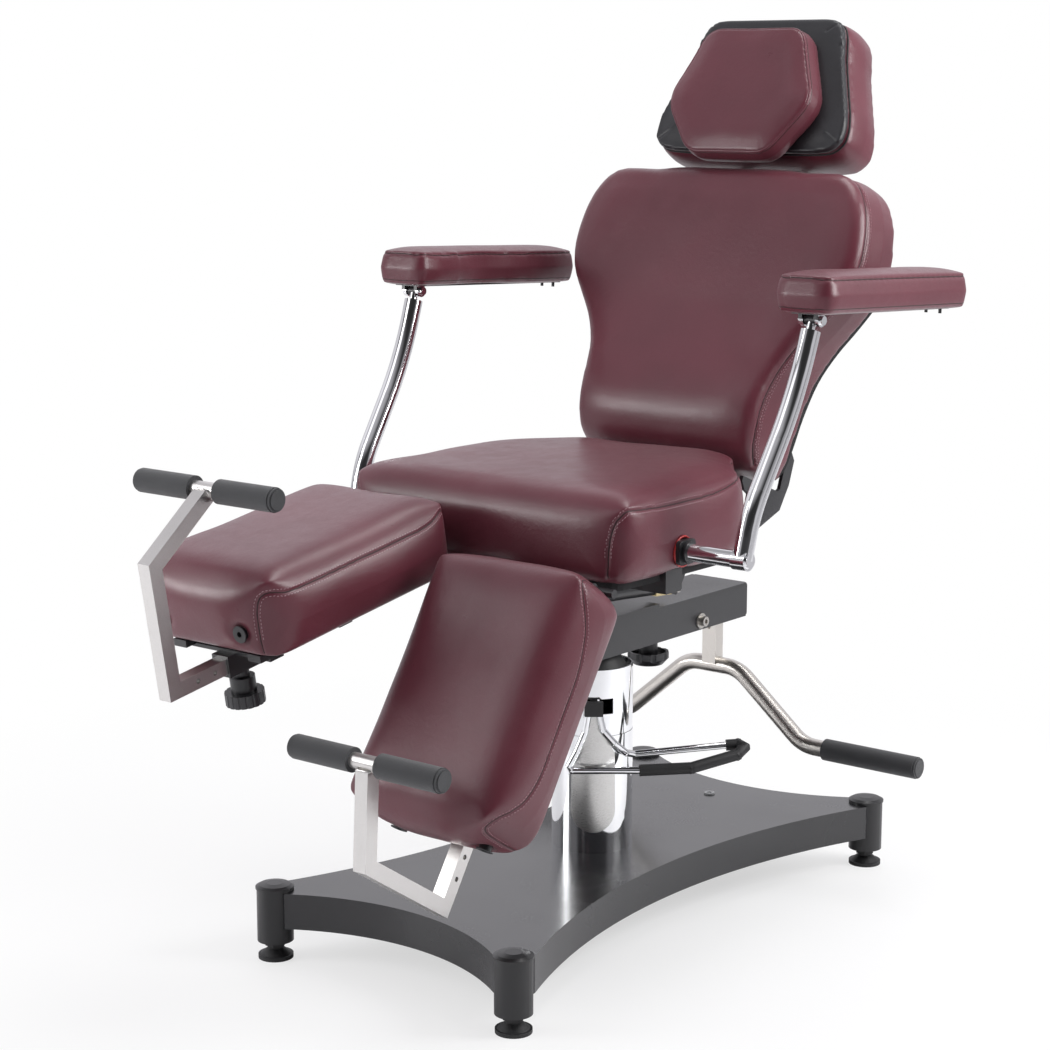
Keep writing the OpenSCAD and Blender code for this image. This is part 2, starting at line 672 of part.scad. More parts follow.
module head_outline() polygon(both_sides(head_half_outline));
module head_rods() color(chrome) {
  at_back() {
    for (x = about(head_rod_x)) translate([x, head_rod_y, 0]) zrod([215, 490], head_rod_r);
    block(about(74), [124, 164], [486, 499]);
    for (s = [-1, 1])
      side_plate(span(s, [24, 30]), [[142, 490], [164, 490], [162, 531], [140, 531]]);
  }
  axle = head_foot + turned(head_hinge, -head_tilt);
  xrod(about(28), axle, head_pin_r);
  for (s = [-1, 1]) xrod(span(s, [23.8, 30.2]), axle, 11.7);
}
module head_bracket() color(grey) at_head() difference() {
  union() {
    block(about(90), [100.2, 104], [10, 150]);
    block(about(20), [103, 122], [15, 35]);
    xrod(about(20), head_hinge, 11);
  }
  xrod(about(60), head_hinge, head_pin_r + fit_gap);
}
module head_cushion() color(burgundy) at_head()
  translate([0, 100, 0]) rotate([90, 0, 0]) linear_extrude(84) head_outline();
module head_panel() color(black) at_head()
  translate([0, head_panel_thick, 0]) rotate([90, 0, 0]) linear_extrude(head_panel_thick)
    translate([0, 3]) scale([0.975, 0.975]) head_outline();
module head_pillow() color(burgundy) at_head()
  translate([0, -0.3, 88]) rotate([90, 0, 0]) linear_extrude(pillow_thick)
    polygon(rounded(both_sides(pillow_half_outline), 6));

// ---- leg rests: -y runs out along the rest, z is square to it ----
leg_mid_half = leg_half + leg_more / 2;
tube_z = -30;    // centre line of the sliding square tube
tube_out = 472;  // distance from the hinge to its knee
cross_bar = [-352, 216];
cross_bar_r = 10.8;
knob_y = -341;
knob_screw_r = 5;
cap_r = 9;

module leg_frame(s) color(black) at_leg(s) difference() {
  union() {
    for (k = [-1, 1]) {
      block(span(k, [60, 84]), [-380, 0], [-11.5, -1]);
      xrod(span(k, [60, 84]), [0, 0], 10.5);
    }
    for (y = [-224, -362]) block(about(84), [y, y + 26], [-16, -10.5]);
    block(about(15.5), [-376, -190], about(15.5, tube_z));
    translate([0, knob_y, 0]) zrod([-56, -44], 11);
  }
  xrod(about(100), [0, 0], leg_axle_r + fit_gap);
  block(about(bar_sq / 2 + 0.06), [-400, -180], about(bar_sq / 2 + 0.06, tube_z));
  translate([0, knob_y, 0]) zrod([-60, -38], knob_screw_r + fit_gap);
}
// the two caps in the far end of a cushion, starting this far outside it
module at_caps(s, outside) for (x = [-76, 76])
  translate([x + s * leg_more / 2, -leg_len - outside, 32]) rotate([-90, 0, 0]) children();
// the cushion stands out past the frame on the outer side
module leg_cushion(s) color(burgundy) at_leg(s) difference() {
  translate([s * leg_more / 2, 0, 0]) linear_extrude(leg_thick)
    polygon(rounded(both_sides([[leg_mid_half, -leg_len, 32], [leg_mid_half, -3, 22]]), 6));
  block(about(200), [-24, 1], [-1, 18]);
  at_caps(s, 2) cylinder(r = cap_r + 0.1, h = 22);
}
module leg_caps(s) color(black) at_leg(s) at_caps(s, 1.5) difference() {
  union() {
    cylinder(r = 12, h = 1.4);
    cylinder(r = cap_r, h = 20);
  }
  zrod([-1, 17], 4);
}
// square tube that slides in the leg rest, bent back at its knee to the cross bar
module foot_bar(s) color(steel) at_leg(s) {
  half = bar_sq / 2;
  slope = 30;
  knee_z = cross_bar[1] - (tube_out + cross_bar[0]) * tan(slope);
  tip = cross_bar - 8 * [cos(slope), sin(slope)];
  to_edge = half * [-sin(slope), cos(slope)];
  difference() {
    union() {
      side_plate(about(half), [[-190, tube_z - half], [-tube_out - half, tube_z - half],
        [-tube_out - half, knee_z + half * tan(slope)], tip + to_edge, tip - to_edge,
        [-tube_out + half, knee_z - half * tan(slope)],
        [-tube_out + half, tube_z + half], [-190, tube_z + half]]);
      xrod(about(128), cross_bar, cross_bar_r);
    }
    for (k = [0:6]) xrod(about(20), [-430 + 32 * k, tube_z], 3.5);
  }
}
module foot_grips(s) color(black) at_leg(s) on_both_sides()
  grip([24, 132], cross_bar, 17, cross_bar_r);
module foot_knob(s) color(black) at_leg(s) translate([0, knob_y, 0]) {
  zrod([-72, -42], knob_screw_r);
  zrod([-80, -57], 18);
  difference() {
    zrod([-97, -79], 28);
    for (k = [0:17]) rotate([0, 0, k * 20]) translate([29.5, 0, 0]) zrod([-100, -70], 2.6, $fn = 16);
  }
}
module leg_frame_l() leg_frame(1);
module leg_frame_r() leg_frame(-1);
module leg_cushion_l() leg_cushion(1);
module leg_cushion_r() leg_cushion(-1);
module leg_caps_l() leg_caps(1);
module leg_caps_r() leg_caps(-1);
module foot_bar_l() foot_bar(1);
module foot_bar_r() foot_bar(-1);
module foot_grips_l() foot_grips(1);
module foot_grips_r() foot_grips(-1);
module foot_knob_l() foot_knob(1);
module foot_knob_r() foot_knob(-1);

base_plate();
base_posts();
post_caps();
plate_plugs();
pump_cylinder();
pedestal_shroud();
pedestal_sleeve();
pedestal_boot();
guard_tongue();
foot_fl();
foot_fr();
foot_rl();
foot_rr();
pump_pedal();
pedal_clip();
pedal_sleeve();
lift_column();
main_channel();
channel_bolts();
seat_riser();
swivel_knob();
rear_bar();
rear_disc();
rear_grips();
seat_frame();
seat_board();
seat_cushion();
arm_bushings();
arm_post_l();
arm_post_r();
arm_fork_l();
arm_fork_r();
arm_pad_l();
arm_pad_r();
gas_rod();
gas_cylinder();
gas_clevis();
back_frame();
back_bolts();
back_board();
back_cushion();
head_rods();
head_bracket();
head_cushion();
head_panel();
head_pillow();
leg_frame_l();
leg_cushion_l();
foot_bar_l();
foot_grips_l();
foot_knob_l();
leg_caps_l();
leg_frame_r();
leg_cushion_r();
foot_bar_r();
foot_grips_r();
foot_knob_r();
leg_caps_r();
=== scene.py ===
# An upholstered chair on a pedestal: seat, two separate leg rests, back, headrest with a neck
# pillow, and two arm pads. It stands on z = 0 and faces -Y; +X is its own left, +Z is up.
# World lengths are metres. Each cushion is shaped in its own local frame, in millimetres.
import json
import math
import bpy
import bmesh
import numpy as np
from mathutils import Vector, Matrix
from mathutils.bvhtree import BVHTree
from mathutils.kdtree import KDTree


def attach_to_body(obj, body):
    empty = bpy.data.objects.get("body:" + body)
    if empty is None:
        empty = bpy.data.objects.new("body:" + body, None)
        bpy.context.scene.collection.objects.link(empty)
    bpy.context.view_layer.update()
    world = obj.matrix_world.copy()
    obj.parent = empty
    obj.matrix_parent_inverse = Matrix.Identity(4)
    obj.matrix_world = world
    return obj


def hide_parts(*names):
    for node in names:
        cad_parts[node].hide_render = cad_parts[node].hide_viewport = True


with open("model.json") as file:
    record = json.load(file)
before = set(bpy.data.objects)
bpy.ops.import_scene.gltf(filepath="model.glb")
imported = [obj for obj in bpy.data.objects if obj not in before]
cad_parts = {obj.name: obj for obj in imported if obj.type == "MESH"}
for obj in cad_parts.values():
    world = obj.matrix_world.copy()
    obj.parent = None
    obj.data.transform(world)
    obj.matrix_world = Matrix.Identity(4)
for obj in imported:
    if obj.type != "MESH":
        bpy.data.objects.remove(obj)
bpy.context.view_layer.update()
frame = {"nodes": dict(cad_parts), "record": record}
NODES = frame["nodes"]
SCENE = bpy.context.scene
MM = 0.001
SIDES = ((1, "l"), (-1, "r"))
MATERIALS = {}

# Voxel size of the large cushions, and subdivision of all but the face panel and arm pads
COARSE_VOXEL = 0.008
MEDIUM_VOXEL = 0.0065
SUBDIVISION = 2

# Arm pads and the hinges under them
ARM_X = 375.0
HINGE_Y, HINGE_Z = 0.027, 0.946


def frame_at(origin, tilt):
    """Local frame: origin in millimetres, tilt about X in degrees."""
    return Matrix.Translation(Vector(origin) * MM) @ Matrix.Rotation(math.radians(tilt), 4, "X")


SEAT = frame_at((0, 0, 0), 0)
BACK = frame_at((0, 191, 696), -20.9)
HEAD = frame_at((0, 400, 1165), -23.9)
LEG = {1: frame_at((138, -279, 585), 57), -1: frame_at((-138, -279, 585), 9.6)}
PAD = {side: frame_at((side * ARM_X, 0, 1009.5), -2.7) for side in (1, -1)}


# ---------------------------------------------------------------- shader nodes
class Nodes:
    """Short calls that add and link nodes in one tree."""

    def __init__(self, tree):
        self.tree = tree

    def put(self, node, key, value):
        socket = node.inputs[key]
        if isinstance(value, bpy.types.NodeSocket):
            self.tree.links.new(value, socket)
        else:
            socket.default_value = value

    def fill(self, node, **inputs):
        for key, value in inputs.items():
            self.put(node, key.replace("_", " "), value)

    def add(self, kind, **inputs):
        node = self.tree.nodes.new(kind)
        self.fill(node, **inputs)
        return node

    def operate(self, kind, operation, values):
        node = self.add(kind)
        node.operation = operation
        for index, value in enumerate(values):
            self.put(node, index, value)
        return node

    def math(self, operation, *values):
        return self.operate("ShaderNodeMath", operation, values).outputs[0]

    def vector(self, operation, *values):
        node = self.operate("ShaderNodeVectorMath", operation, values)
        return node.outputs["Value" if operation in ("DOT_PRODUCT", "LENGTH") else 0]

    def blend(self, factor, first, second):
        node = self.add("ShaderNodeMixShader")
        for index, value in enumerate((factor, first, second)):
            self.put(node, index, value)
        return node.outputs[0]


class Material(Nodes):
    """A Principled material, kept in MATERIALS under its name."""

    def __init__(self, name):
        material = bpy.data.materials.new(name)
        material.use_nodes = True
        super().__init__(material.node_tree)
        self.shader = self.tree.nodes["Principled BSDF"]
        self.place = self.add("ShaderNodeTexCoord").outputs["Object"]
        MATERIALS[name] = material

    def noise(self, scale, detail=3, rough=0.5, distortion=0.0, place=None):
        return self.add("ShaderNodeTexNoise", Vector=place or self.place, Scale=scale,
                        Detail=detail, Roughness=rough, Distortion=distortion).outputs["Fac"]

    def cells(self, scale, feature):
        node = self.add("ShaderNodeTexVoronoi")
        node.feature = feature
        self.fill(node, Vector=self.place, Scale=scale)
        return node.outputs["Distance"]

    def stretch(self, scale, turn=(0, 0, 0)):
        return self.add("ShaderNodeMapping", Vector=self.place, Scale=scale,
                        Rotation=turn).outputs["Vector"]

    def edges(self, span):
        """Mask that rises on convex edges; the materials lighten the tone with it as a painted
        highlight.
        """
        return self.ramp(self.add("ShaderNodeNewGeometry").outputs["Pointiness"], span=span)

    def ramp(self, source, span=(0.3, 0.7), to=(0.0, 1.0)):
        return self.add("ShaderNodeMapRange", Value=source, From_Min=span[0], From_Max=span[1],
                        To_Min=to[0], To_Max=to[1]).outputs["Result"]

    def plus(self, first, second):
        return self.math("ADD", first, second)

    def times(self, first, second):
        return self.math("MULTIPLY", first, second)

    def inverse(self, value):
        return self.math("SUBTRACT", 1.0, value)

    def mask(self, source, span, gain):
        return self.times(self.ramp(source, span=span), gain)

    def mix(self, factor, first, second):
        """Colour mix; inputs 6 and 7 and output 2 are the colour sockets."""
        node = self.add("ShaderNodeMix")
        node.data_type = "RGBA"
        self.put(node, 0, factor)
        for key, value in ((6, first), (7, second)):
            is_link = isinstance(value, bpy.types.NodeSocket)
            self.put(node, key, value if is_link else (*value, 1.0))
        return node.outputs[2]

    def bump(self, height, strength, distance, over=None):
        node = self.add("ShaderNodeBump", Height=height, Strength=strength, Distance=distance)
        if over is not None:
            self.put(node, "Normal", over)
        return node.outputs["Normal"]

    def surface(self, **inputs):
        self.fill(self.shader, **inputs)


def scaled(colour, factor, lift=0.0):
    return [min(1, channel * factor + lift) for channel in colour]


# ---------------------------------------------------------------- materials
def vinyl(name, base, dark, light, rough, grain, coat=0.0):
    """Coated vinyl: pebble grain, fine creases, tone drifting over the hide."""
    mat = Material(name)
    drift = mat.noise(scale=5.5, rough=0.55)
    cloud = mat.noise(scale=38.0, rough=0.6)
    pebble = mat.cells(scale=820.0, feature="DISTANCE_TO_EDGE")
    small_pebble = mat.cells(scale=1500.0, feature="DISTANCE_TO_EDGE")
    fine = mat.noise(scale=1900.0, detail=2, rough=0.6)
    crease = mat.noise(scale=70.0, detail=5, rough=0.62, distortion=0.9,
                       place=mat.stretch((1.0, 0.35, 1.0)))
    edge = mat.edges(span=(0.47, 0.56))
    tone = mat.mix(mat.ramp(drift), dark, light)
    tone = mat.mix(mat.mask(cloud, span=(0.35, 0.7), gain=0.35), tone, base)
    # The valleys between the pebbles are darkened: painted shade in the grain
    valley = mat.ramp(pebble, span=(0.0, 0.16))
    tone = mat.mix(mat.times(mat.inverse(valley), 0.28), tone, scaled(base, 0.55))
    # Convex edges are lifted to a lighter tone: a painted highlight
    tone = mat.mix(mat.times(edge, 0.16), tone, scaled(base, 1.5, lift=0.01))
    height = mat.plus(mat.mask(pebble, span=(0.0, 0.3), gain=0.65),
                      mat.mask(small_pebble, span=(0.0, 0.3), gain=0.35))
    height = mat.plus(height, mat.times(fine, 0.25))
    normal = mat.bump(height, strength=0.17 * grain, distance=0.0004)
    normal = mat.bump(mat.ramp(crease, span=(0.42, 0.62)), strength=0.10 * grain,
                      distance=0.0009, over=normal)
    normal = mat.bump(cloud, strength=0.10, distance=0.0012, over=normal)
    roughness = mat.plus(mat.ramp(cloud, span=(0.25, 0.8), to=(rough - 0.04, rough + 0.07)),
                         mat.times(mat.inverse(valley), 0.10))
    mat.surface(Base_Color=tone, Roughness=roughness, Normal=normal, Specular_IOR_Level=0.5,
                Coat_Weight=coat, Coat_Roughness=0.22, Sheen_Weight=0.06, Sheen_Roughness=0.5)


def chrome(name, tint, rough):
    """Polished chrome with faint haze and scuffs."""
    mat = Material(name)
    haze = mat.noise(scale=24.0, detail=4, rough=0.6)
    scuff = mat.noise(scale=260.0, detail=2, rough=0.7, place=mat.stretch((1, 1, 6)))
    roughness = mat.plus(mat.ramp(haze, span=(0.35, 0.75), to=(rough * 0.7, rough * 1.7)),
                         mat.ramp(scuff, span=(0.66, 0.78), to=(0.0, 0.05)))
    tone = mat.mix(mat.ramp(haze), tint, scaled(tint, 0.94))
    normal = mat.bump(mat.noise(scale=16.0, detail=2), strength=0.03, distance=0.002)
    mat.surface(Base_Color=tone, Metallic=1.0, Roughness=roughness, Normal=normal)


def brushed(name, tint, rough, stretch, strength):
    """Linished metal: fine lines at right angles to the axis of largest stretch."""
    mat = Material(name)
    place = mat.stretch(stretch)
    lines = mat.noise(scale=900.0, rough=0.75, place=place)
    wide = mat.noise(scale=160.0, rough=0.6, place=place)
    cloud = mat.noise(scale=14.0, rough=0.6)
    tone = mat.mix(mat.ramp(lines), scaled(tint, 0.86), scaled(tint, 1.07))
    tone = mat.mix(mat.mask(cloud, span=(0.4, 0.75), gain=0.25), tone, scaled(tint, 0.85))
    roughness = mat.plus(mat.ramp(lines, span=(0.2, 0.8), to=(rough - 0.05, rough + 0.08)),
                         mat.ramp(wide, span=(0.4, 0.8), to=(0.0, 0.06)))
    normal = mat.bump(lines, strength=strength, distance=0.0003)
    mat.surface(Base_Color=tone, Metallic=1.0, Roughness=roughness, Normal=normal,
                Anisotropic=0.45)


def paint(name, base, rough, peel, coat, edge_highlight=(0.2, 0.2, 0.2)):
    """Powder coat: orange peel, dust in the tone, a lighter colour along the edges as a painted
    highlight.
    """
    mat = Material(name)
    orange = mat.noise(scale=420.0, detail=2)
    big = mat.noise(scale=6.0, rough=0.6)
    speck = mat.noise(scale=1200.0, detail=1)
    edge = mat.edges(span=(0.53, 0.60))
    tone = mat.mix(mat.ramp(big), scaled(base, 0.85), scaled(base, 1.25))
    tone = mat.mix(mat.mask(speck, span=(0.68, 0.75), gain=0.3), tone,
                   scaled(base, 3, lift=0.02))
    # Convex edges are mixed towards a lighter grey: a painted highlight
    tone = mat.mix(mat.times(edge, 0.25), tone, edge_highlight)
    roughness = mat.plus(mat.ramp(big, to=(rough - 0.04, rough + 0.05)),
                         mat.ramp(orange, to=(0.0, 0.05)))
    normal = mat.bump(orange, strength=peel, distance=0.0006)
    mat.surface(Base_Color=tone, Roughness=roughness, Normal=normal, Coat_Weight=coat,
                Coat_Roughness=0.12)


def plastic(name, base, rough, grain, scale=900.0):
    """Moulded plastic with a spark-eroded grain."""
    mat = Material(name)
    spark = mat.cells(scale=scale, feature="F1")
    cloud = mat.noise(scale=22.0, rough=0.6)
    edge = mat.edges(span=(0.53, 0.62))
    tone = mat.mix(mat.ramp(cloud), scaled(base, 0.8), scaled(base, 1.25))
    # Convex edges are lifted to a lighter tone: a painted highlight
    tone = mat.mix(mat.times(edge, 0.3), tone, scaled(base, 2.2, lift=0.03))
    normal = mat.bump(spark, strength=grain, distance=0.0003)
    roughness = mat.ramp(cloud, span=(0.3, 0.75), to=(rough - 0.06, rough + 0.08))
    mat.surface(Base_Color=tone, Roughness=roughness, Normal=normal)


def foam(name, base):
    """Closed-cell foam sleeve: pores, chalky, a little dust."""
    mat = Material(name)
    pore = mat.cells(scale=1300.0, feature="F1")
    fine_pore = mat.noise(scale=2400.0, detail=2, rough=0.7)
    cloud = mat.noise(scale=30.0, detail=4, rough=0.65)
    # Pore centres, the pits of the bump, are darkened: painted shade
    tone = mat.mix(mat.ramp(pore, span=(0.1, 0.6)), scaled(base, 0.5), scaled(base, 1.2))
    tone = mat.mix(mat.mask(cloud, span=(0.45, 0.8), gain=0.4), tone,
                   scaled(base, 1.7, lift=0.01))
    height = mat.plus(pore, mat.times(fine_pore, 0.6))
    normal = mat.bump(height, strength=0.45, distance=0.0005)
    normal = mat.bump(cloud, strength=0.2, distance=0.0015, over=normal)
    mat.surface(Base_Color=tone, Normal=normal, Sheen_Weight=0.25, Sheen_Roughness=0.6,
                Roughness=mat.ramp(cloud, span=(0.2, 0.8), to=(0.72, 0.88)))


def cloth(name, base):
    """Non-woven dust cover."""
    mat = Material(name)
    fibre = mat.noise(scale=700.0, detail=4, rough=0.8, distortion=0.6)
    dots = mat.cells(scale=420.0, feature="F1")
    cloud = mat.noise(scale=12.0, rough=0.6)
    tone = mat.mix(mat.ramp(fibre, span=(0.3, 0.75)), scaled(base, 0.6), scaled(base, 1.8))
    tone = mat.mix(mat.mask(cloud, span=(0.4, 0.8), gain=0.3), tone, scaled(base, 0.6))
    normal = mat.bump(mat.plus(fibre, mat.times(dots, 0.7)), strength=0.35, distance=0.0004)
    mat.surface(Base_Color=tone, Roughness=0.85, Normal=normal)


def thread(name, base):
    """Twisted sewing thread."""
    mat = Material(name)
    twist = mat.noise(scale=2600.0, detail=2, rough=0.6,
                      place=mat.stretch((1, 1, 2.5), turn=(0.5, 0.5, 0.5)))
    tone = mat.mix(mat.ramp(twist), scaled(base, 0.7), scaled(base, 1.25))
    mat.surface(Base_Color=tone, Roughness=0.6,
                Normal=mat.bump(twist, strength=0.5, distance=0.0002))


def floor_pale(name):
    """Pale floor that fades to plain white for the camera away from the chair."""
    mat = Material(name)
    tone = mat.mix(mat.noise(scale=2.0), (0.90, 0.90, 0.905), (0.93, 0.93, 0.935))
    mat.surface(Base_Color=tone, Roughness=0.55)
    distance = mat.vector("LENGTH", mat.place)
    fade = mat.ramp(distance, span=(0.25, 1.6), to=(0.60, 1.0))
    glow = mat.add("ShaderNodeEmission", Color=(1, 1, 1, 1), Strength=1.0)
    path = mat.add("ShaderNodeLightPath")
    share = mat.times(fade, path.outputs["Is Camera Ray"])
    mixed = mat.blend(share, mat.shader.outputs[0], glow.outputs[0])
    mat.put(mat.tree.nodes["Material Output"], "Surface", mixed)


def make_materials():
    vinyl("vinyl_burgundy", base=(0.118, 0.021, 0.034), dark=(0.100, 0.017, 0.028),
          light=(0.137, 0.026, 0.041), rough=0.31, grain=1.0, coat=0.14)
    vinyl("vinyl_black", base=(0.013, 0.013, 0.016), dark=(0.010, 0.010, 0.013),
          light=(0.018, 0.018, 0.022), rough=0.38, grain=0.9, coat=0.03)
    # Dark vinyl for the cords laid along the seams: painted shadow lines in the grooves
    vinyl("seam_shadow_dark", base=(0.030, 0.007, 0.009), dark=(0.022, 0.005, 0.007),
          light=(0.036, 0.009, 0.011), rough=0.6, grain=0.6)
    # Near-black vinyl for the cord round the headrest face: a painted shadow line at that seam
    vinyl("seam_shadow_black", base=(0.006, 0.006, 0.007), dark=(0.005, 0.005, 0.006),
          light=(0.008, 0.008, 0.009), rough=0.6, grain=0.6)
    thread("thread_rose", base=(0.43, 0.25, 0.28))
    thread("thread_black", base=(0.03, 0.03, 0.033))
    chrome("chrome_polished", tint=(0.86, 0.87, 0.885), rough=0.055)
    chrome("chrome_tube", tint=(0.87, 0.875, 0.885), rough=0.05)
    for name, tint, rough, stretch, strength in (
            ("tongue_linished", (0.66, 0.655, 0.64), 0.26, (1, 1, 7), 0.08),
            ("stainless_tube", (0.66, 0.63, 0.59), 0.27, (5, 1, 5), 0.08),
            ("stainless_square", (0.66, 0.645, 0.63), 0.30, (1.5, 1.5, 1.5), 0.14),
            ("bolt_steel", (0.52, 0.50, 0.47), 0.32, (2, 2, 2), 0.12),
            ("zinc_yellow", (0.72, 0.60, 0.33), 0.30, (2, 1, 4), 0.12),
            ("disc_steel", (0.62, 0.60, 0.56), 0.28, (3, 1, 1), 0.10)):
        brushed(name, tint, rough, stretch, strength)
    # The last colour given to each paint is its painted edge highlight
    paint("base_gloss_black", base=(0.011, 0.011, 0.013), rough=0.20, peel=0.10, coat=0.3,
          edge_highlight=(0.05, 0.05, 0.052))
    paint("post_black", base=(0.009, 0.009, 0.010), rough=0.34, peel=0.14, coat=0.10,
          edge_highlight=(0.045, 0.045, 0.047))
    paint("frame_black", base=(0.016, 0.016, 0.018), rough=0.36, peel=0.22, coat=0.15,
          edge_highlight=(0.07, 0.07, 0.073))
    plastic("plug_grey", base=(0.20, 0.205, 0.21), rough=0.4, grain=0.15)
    paint("pump_grey", base=(0.10, 0.10, 0.105), rough=0.4, peel=0.2, coat=0.1)
    plastic("rubber_black", base=(0.014, 0.014, 0.015), rough=0.55, grain=0.25, scale=1100.0)
    plastic("knob_black", base=(0.016, 0.016, 0.018), rough=0.34, grain=0.18, scale=800.0)
    foam("foam_black", base=(0.022, 0.023, 0.026))
    cloth("dust_cover_black", base=(0.014, 0.014, 0.015))
    plastic("red_washer", base=(0.40, 0.02, 0.02), rough=0.4, grain=0.1)


# ---------------------------------------------------------------- carried CAD nodes
# Material of each slot whose own name is not a material name
SLOT_MATERIAL = {
    "base_black": "base_gloss_black", "chrome": "chrome_polished", "boot_black": "rubber_black",
    "tongue_steel": "tongue_linished", "foot_black": "rubber_black",
    "pedal_black": "rubber_black", "bar_steel": "stainless_tube", "disc_zinc": "zinc_yellow",
    "board_black": "dust_cover_black", "bushing_black": "knob_black",
    "arm_chrome": "chrome_tube", "leg_steel": "stainless_square", "foot_knob": "knob_black",
    "cap_black": "knob_black",
}
# Bevel width in millimetres: nodes that get it
BEVELS = {
    0.5: "pedestal_shroud pedestal_sleeve",
    0.6: "channel_bolts back_bolts plate_plugs guard_tongue",
    0.8: "foot_knob_l foot_knob_r leg_caps_l leg_caps_r",
    0.9: "arm_fork_l arm_fork_r",
    1.0: "seat_frame leg_frame_l leg_frame_r back_frame head_bracket lift_column",
    1.2: "seat_riser rear_bar rear_disc arm_post_l arm_post_r gas_clevis post_caps foot_fl"
         " foot_fr foot_rl foot_rr pedestal_boot head_rods",
    1.5: "seat_board pedal_clip swivel_knob arm_bushings pedal_sleeve",
    1.6: "main_channel foot_bar_l foot_bar_r gas_cylinder",
    2.0: "back_board",
    2.2: "base_plate",
    3.0: "rear_grips foot_grips_l foot_grips_r",
}


def assign_materials():
    slot_of = {part["node"]: part["material_slot"] for part in frame["record"]["subparts"]}
    for name, node in NODES.items():
        slot = slot_of[name]
        material = SLOT_MATERIAL.get(slot, slot)
        if name == "rear_disc":
            material = "disc_steel"
        if name.startswith("leg_frame"):
            material = "frame_black"
        slots = node.data.materials
        if len(slots) == 0:
            slots.append(MATERIALS[material])
        for index in range(len(slots)):
            slots[index] = MATERIALS[material]


def hinge_offsets(face, side):
    """Distance of a face from the hinge's middle plane, and from its axis."""
    centre = face.center
    return (abs(centre.x - side * ARM_X * MM),
            math.hypot(centre.y - HINGE_Y, centre.z - HINGE_Z))


def paint_hinges():
    """Black fork plates with bright cheeks and bolt heads; a black eye on each arm tube."""
    eye_half = 0.0095
    for side, tag in SIDES:
        fork = NODES["arm_fork_" + tag].data
        fork.materials.append(MATERIALS["frame_black"])
        for face in fork.polygons:
            across, radius = hinge_offsets(face, side)
            bright = eye_half < across < 0.021 and radius < 0.0098
            face.material_index = 0 if bright else 1
        post = NODES["arm_post_" + tag].data
        post.materials.append(MATERIALS["knob_black"])
        for face in post.polygons:
            across, radius = hinge_offsets(face, side)
            if radius < 0.009 and across < eye_half:
                face.material_index = 1


def bevel_nodes():
    widths = {name: width for width, names in BEVELS.items() for name in names.split()}
    for name, node in NODES.items():
        shade_smooth(node.data)
        if name in widths:
            bevel = node.modifiers.new("Bevel", "BEVEL")
            bevel.width = widths[name] * MM
            bevel.segments = 3
            bevel.limit_method = "ANGLE"
            bevel.angle_limit = math.radians(38)
            bevel.use_clamp_overlap = True
            bevel.harden_normals = False
            bevel.miter_outer = "MITER_ARC"
        weighted = node.modifiers.new("Weld", "WEIGHTED_NORMAL")
        weighted.keep_sharp = True
        weighted.weight = 60


# ---------------------------------------------------------------- meshes
def shade_smooth(mesh):
    mesh.polygons.foreach_set("use_smooth", [True] * len(mesh.polygons))


def apply_modifiers(form):
    graph = bpy.context.evaluated_depsgraph_get()
    mesh = bpy.data.meshes.new_from_object(form.evaluated_get(graph))
    old = form.data
    form.modifiers.clear()
    form.data = mesh
    bpy.data.meshes.remove(old)


def read_points(mesh):
    points = np.empty(len(mesh.vertices) * 3, np.float64)
    mesh.vertices.foreach_get("co", points)
    return points.reshape(-1, 3)


def read_normals(mesh):
    normals = np.empty(len(mesh.vertices) * 3, np.float32)
    mesh.vertex_normals.foreach_get("vector", normals)
    return normals.reshape(-1, 3).astype(float)


def read_edges(mesh):
    edges = np.empty(len(mesh.edges) * 2, np.int32)
    mesh.edges.foreach_get("vertices", edges)
    return edges.reshape(-1, 2)


def write_points(mesh, points):
    mesh.vertices.foreach_set("co", points.astype(np.float32).ravel())
    mesh.update()


def make_object(name, points, faces, material, smooth=True):
    mesh = bpy.data.meshes.new(name)
    mesh.from_pydata([tuple(map(float, point)) for point in points], [],
                     [tuple(map(int, face)) for face in faces])
    mesh.update()
    if smooth:
        shade_smooth(mesh)
    made = bpy.data.objects.new(name, mesh)
    SCENE.collection.objects.link(made)
    mesh.materials.append(MATERIALS[material])
    return made


def attach(part, body):
    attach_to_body(part, body)


def relax(points, edges, times, amount):
    """Laplacian smoothing."""
    count = len(points)
    degree = np.bincount(edges.ravel(), minlength=count).astype(float)[:, None]
    first, second = edges[:, 0], edges[:, 1]
    for _ in range(times):
        total = np.zeros_like(points)
        for k in range(3):
            total[:, k] = (np.bincount(first, points[second, k], count)
                           + np.bincount(second, points[first, k], count))
        points = points + amount * (total / np.maximum(degree, 1) - points)
    return points


def subdivide(form, levels):
    modifier = form.modifiers.new("Subdiv", "SUBSURF")
    modifier.levels = modifier.render_levels = levels
    modifier.uv_smooth = "NONE"
    apply_modifiers(form)


def to_local(place, points):
    matrix = np.array(place.inverted())
    return (points @ matrix[:3, :3].T + matrix[:3, 3]) * 1000.0


def to_world(place, points):
    matrix = np.array(place)
    return (np.asarray(points, float) * MM) @ matrix[:3, :3].T + matrix[:3, 3]


def turned(place, direction):
    """A local direction in world axes."""
    return np.array(place.to_3x3() @ Vector(direction))


# ---------------------------------------------------------------- outlines and lines
def unit(vectors):
    return vectors / (np.linalg.norm(vectors, axis=-1, keepdims=True) + 1e-12)


def arc(start, corner, end, steps):
    """Quadratic curve that rounds a corner."""
    start, corner, end = (np.array(point, float) for point in (start, corner, end))
    return [(1 - t) ** 2 * start + 2 * t * (1 - t) * corner + t * t * end
            for t in (k / steps for k in range(steps + 1))]


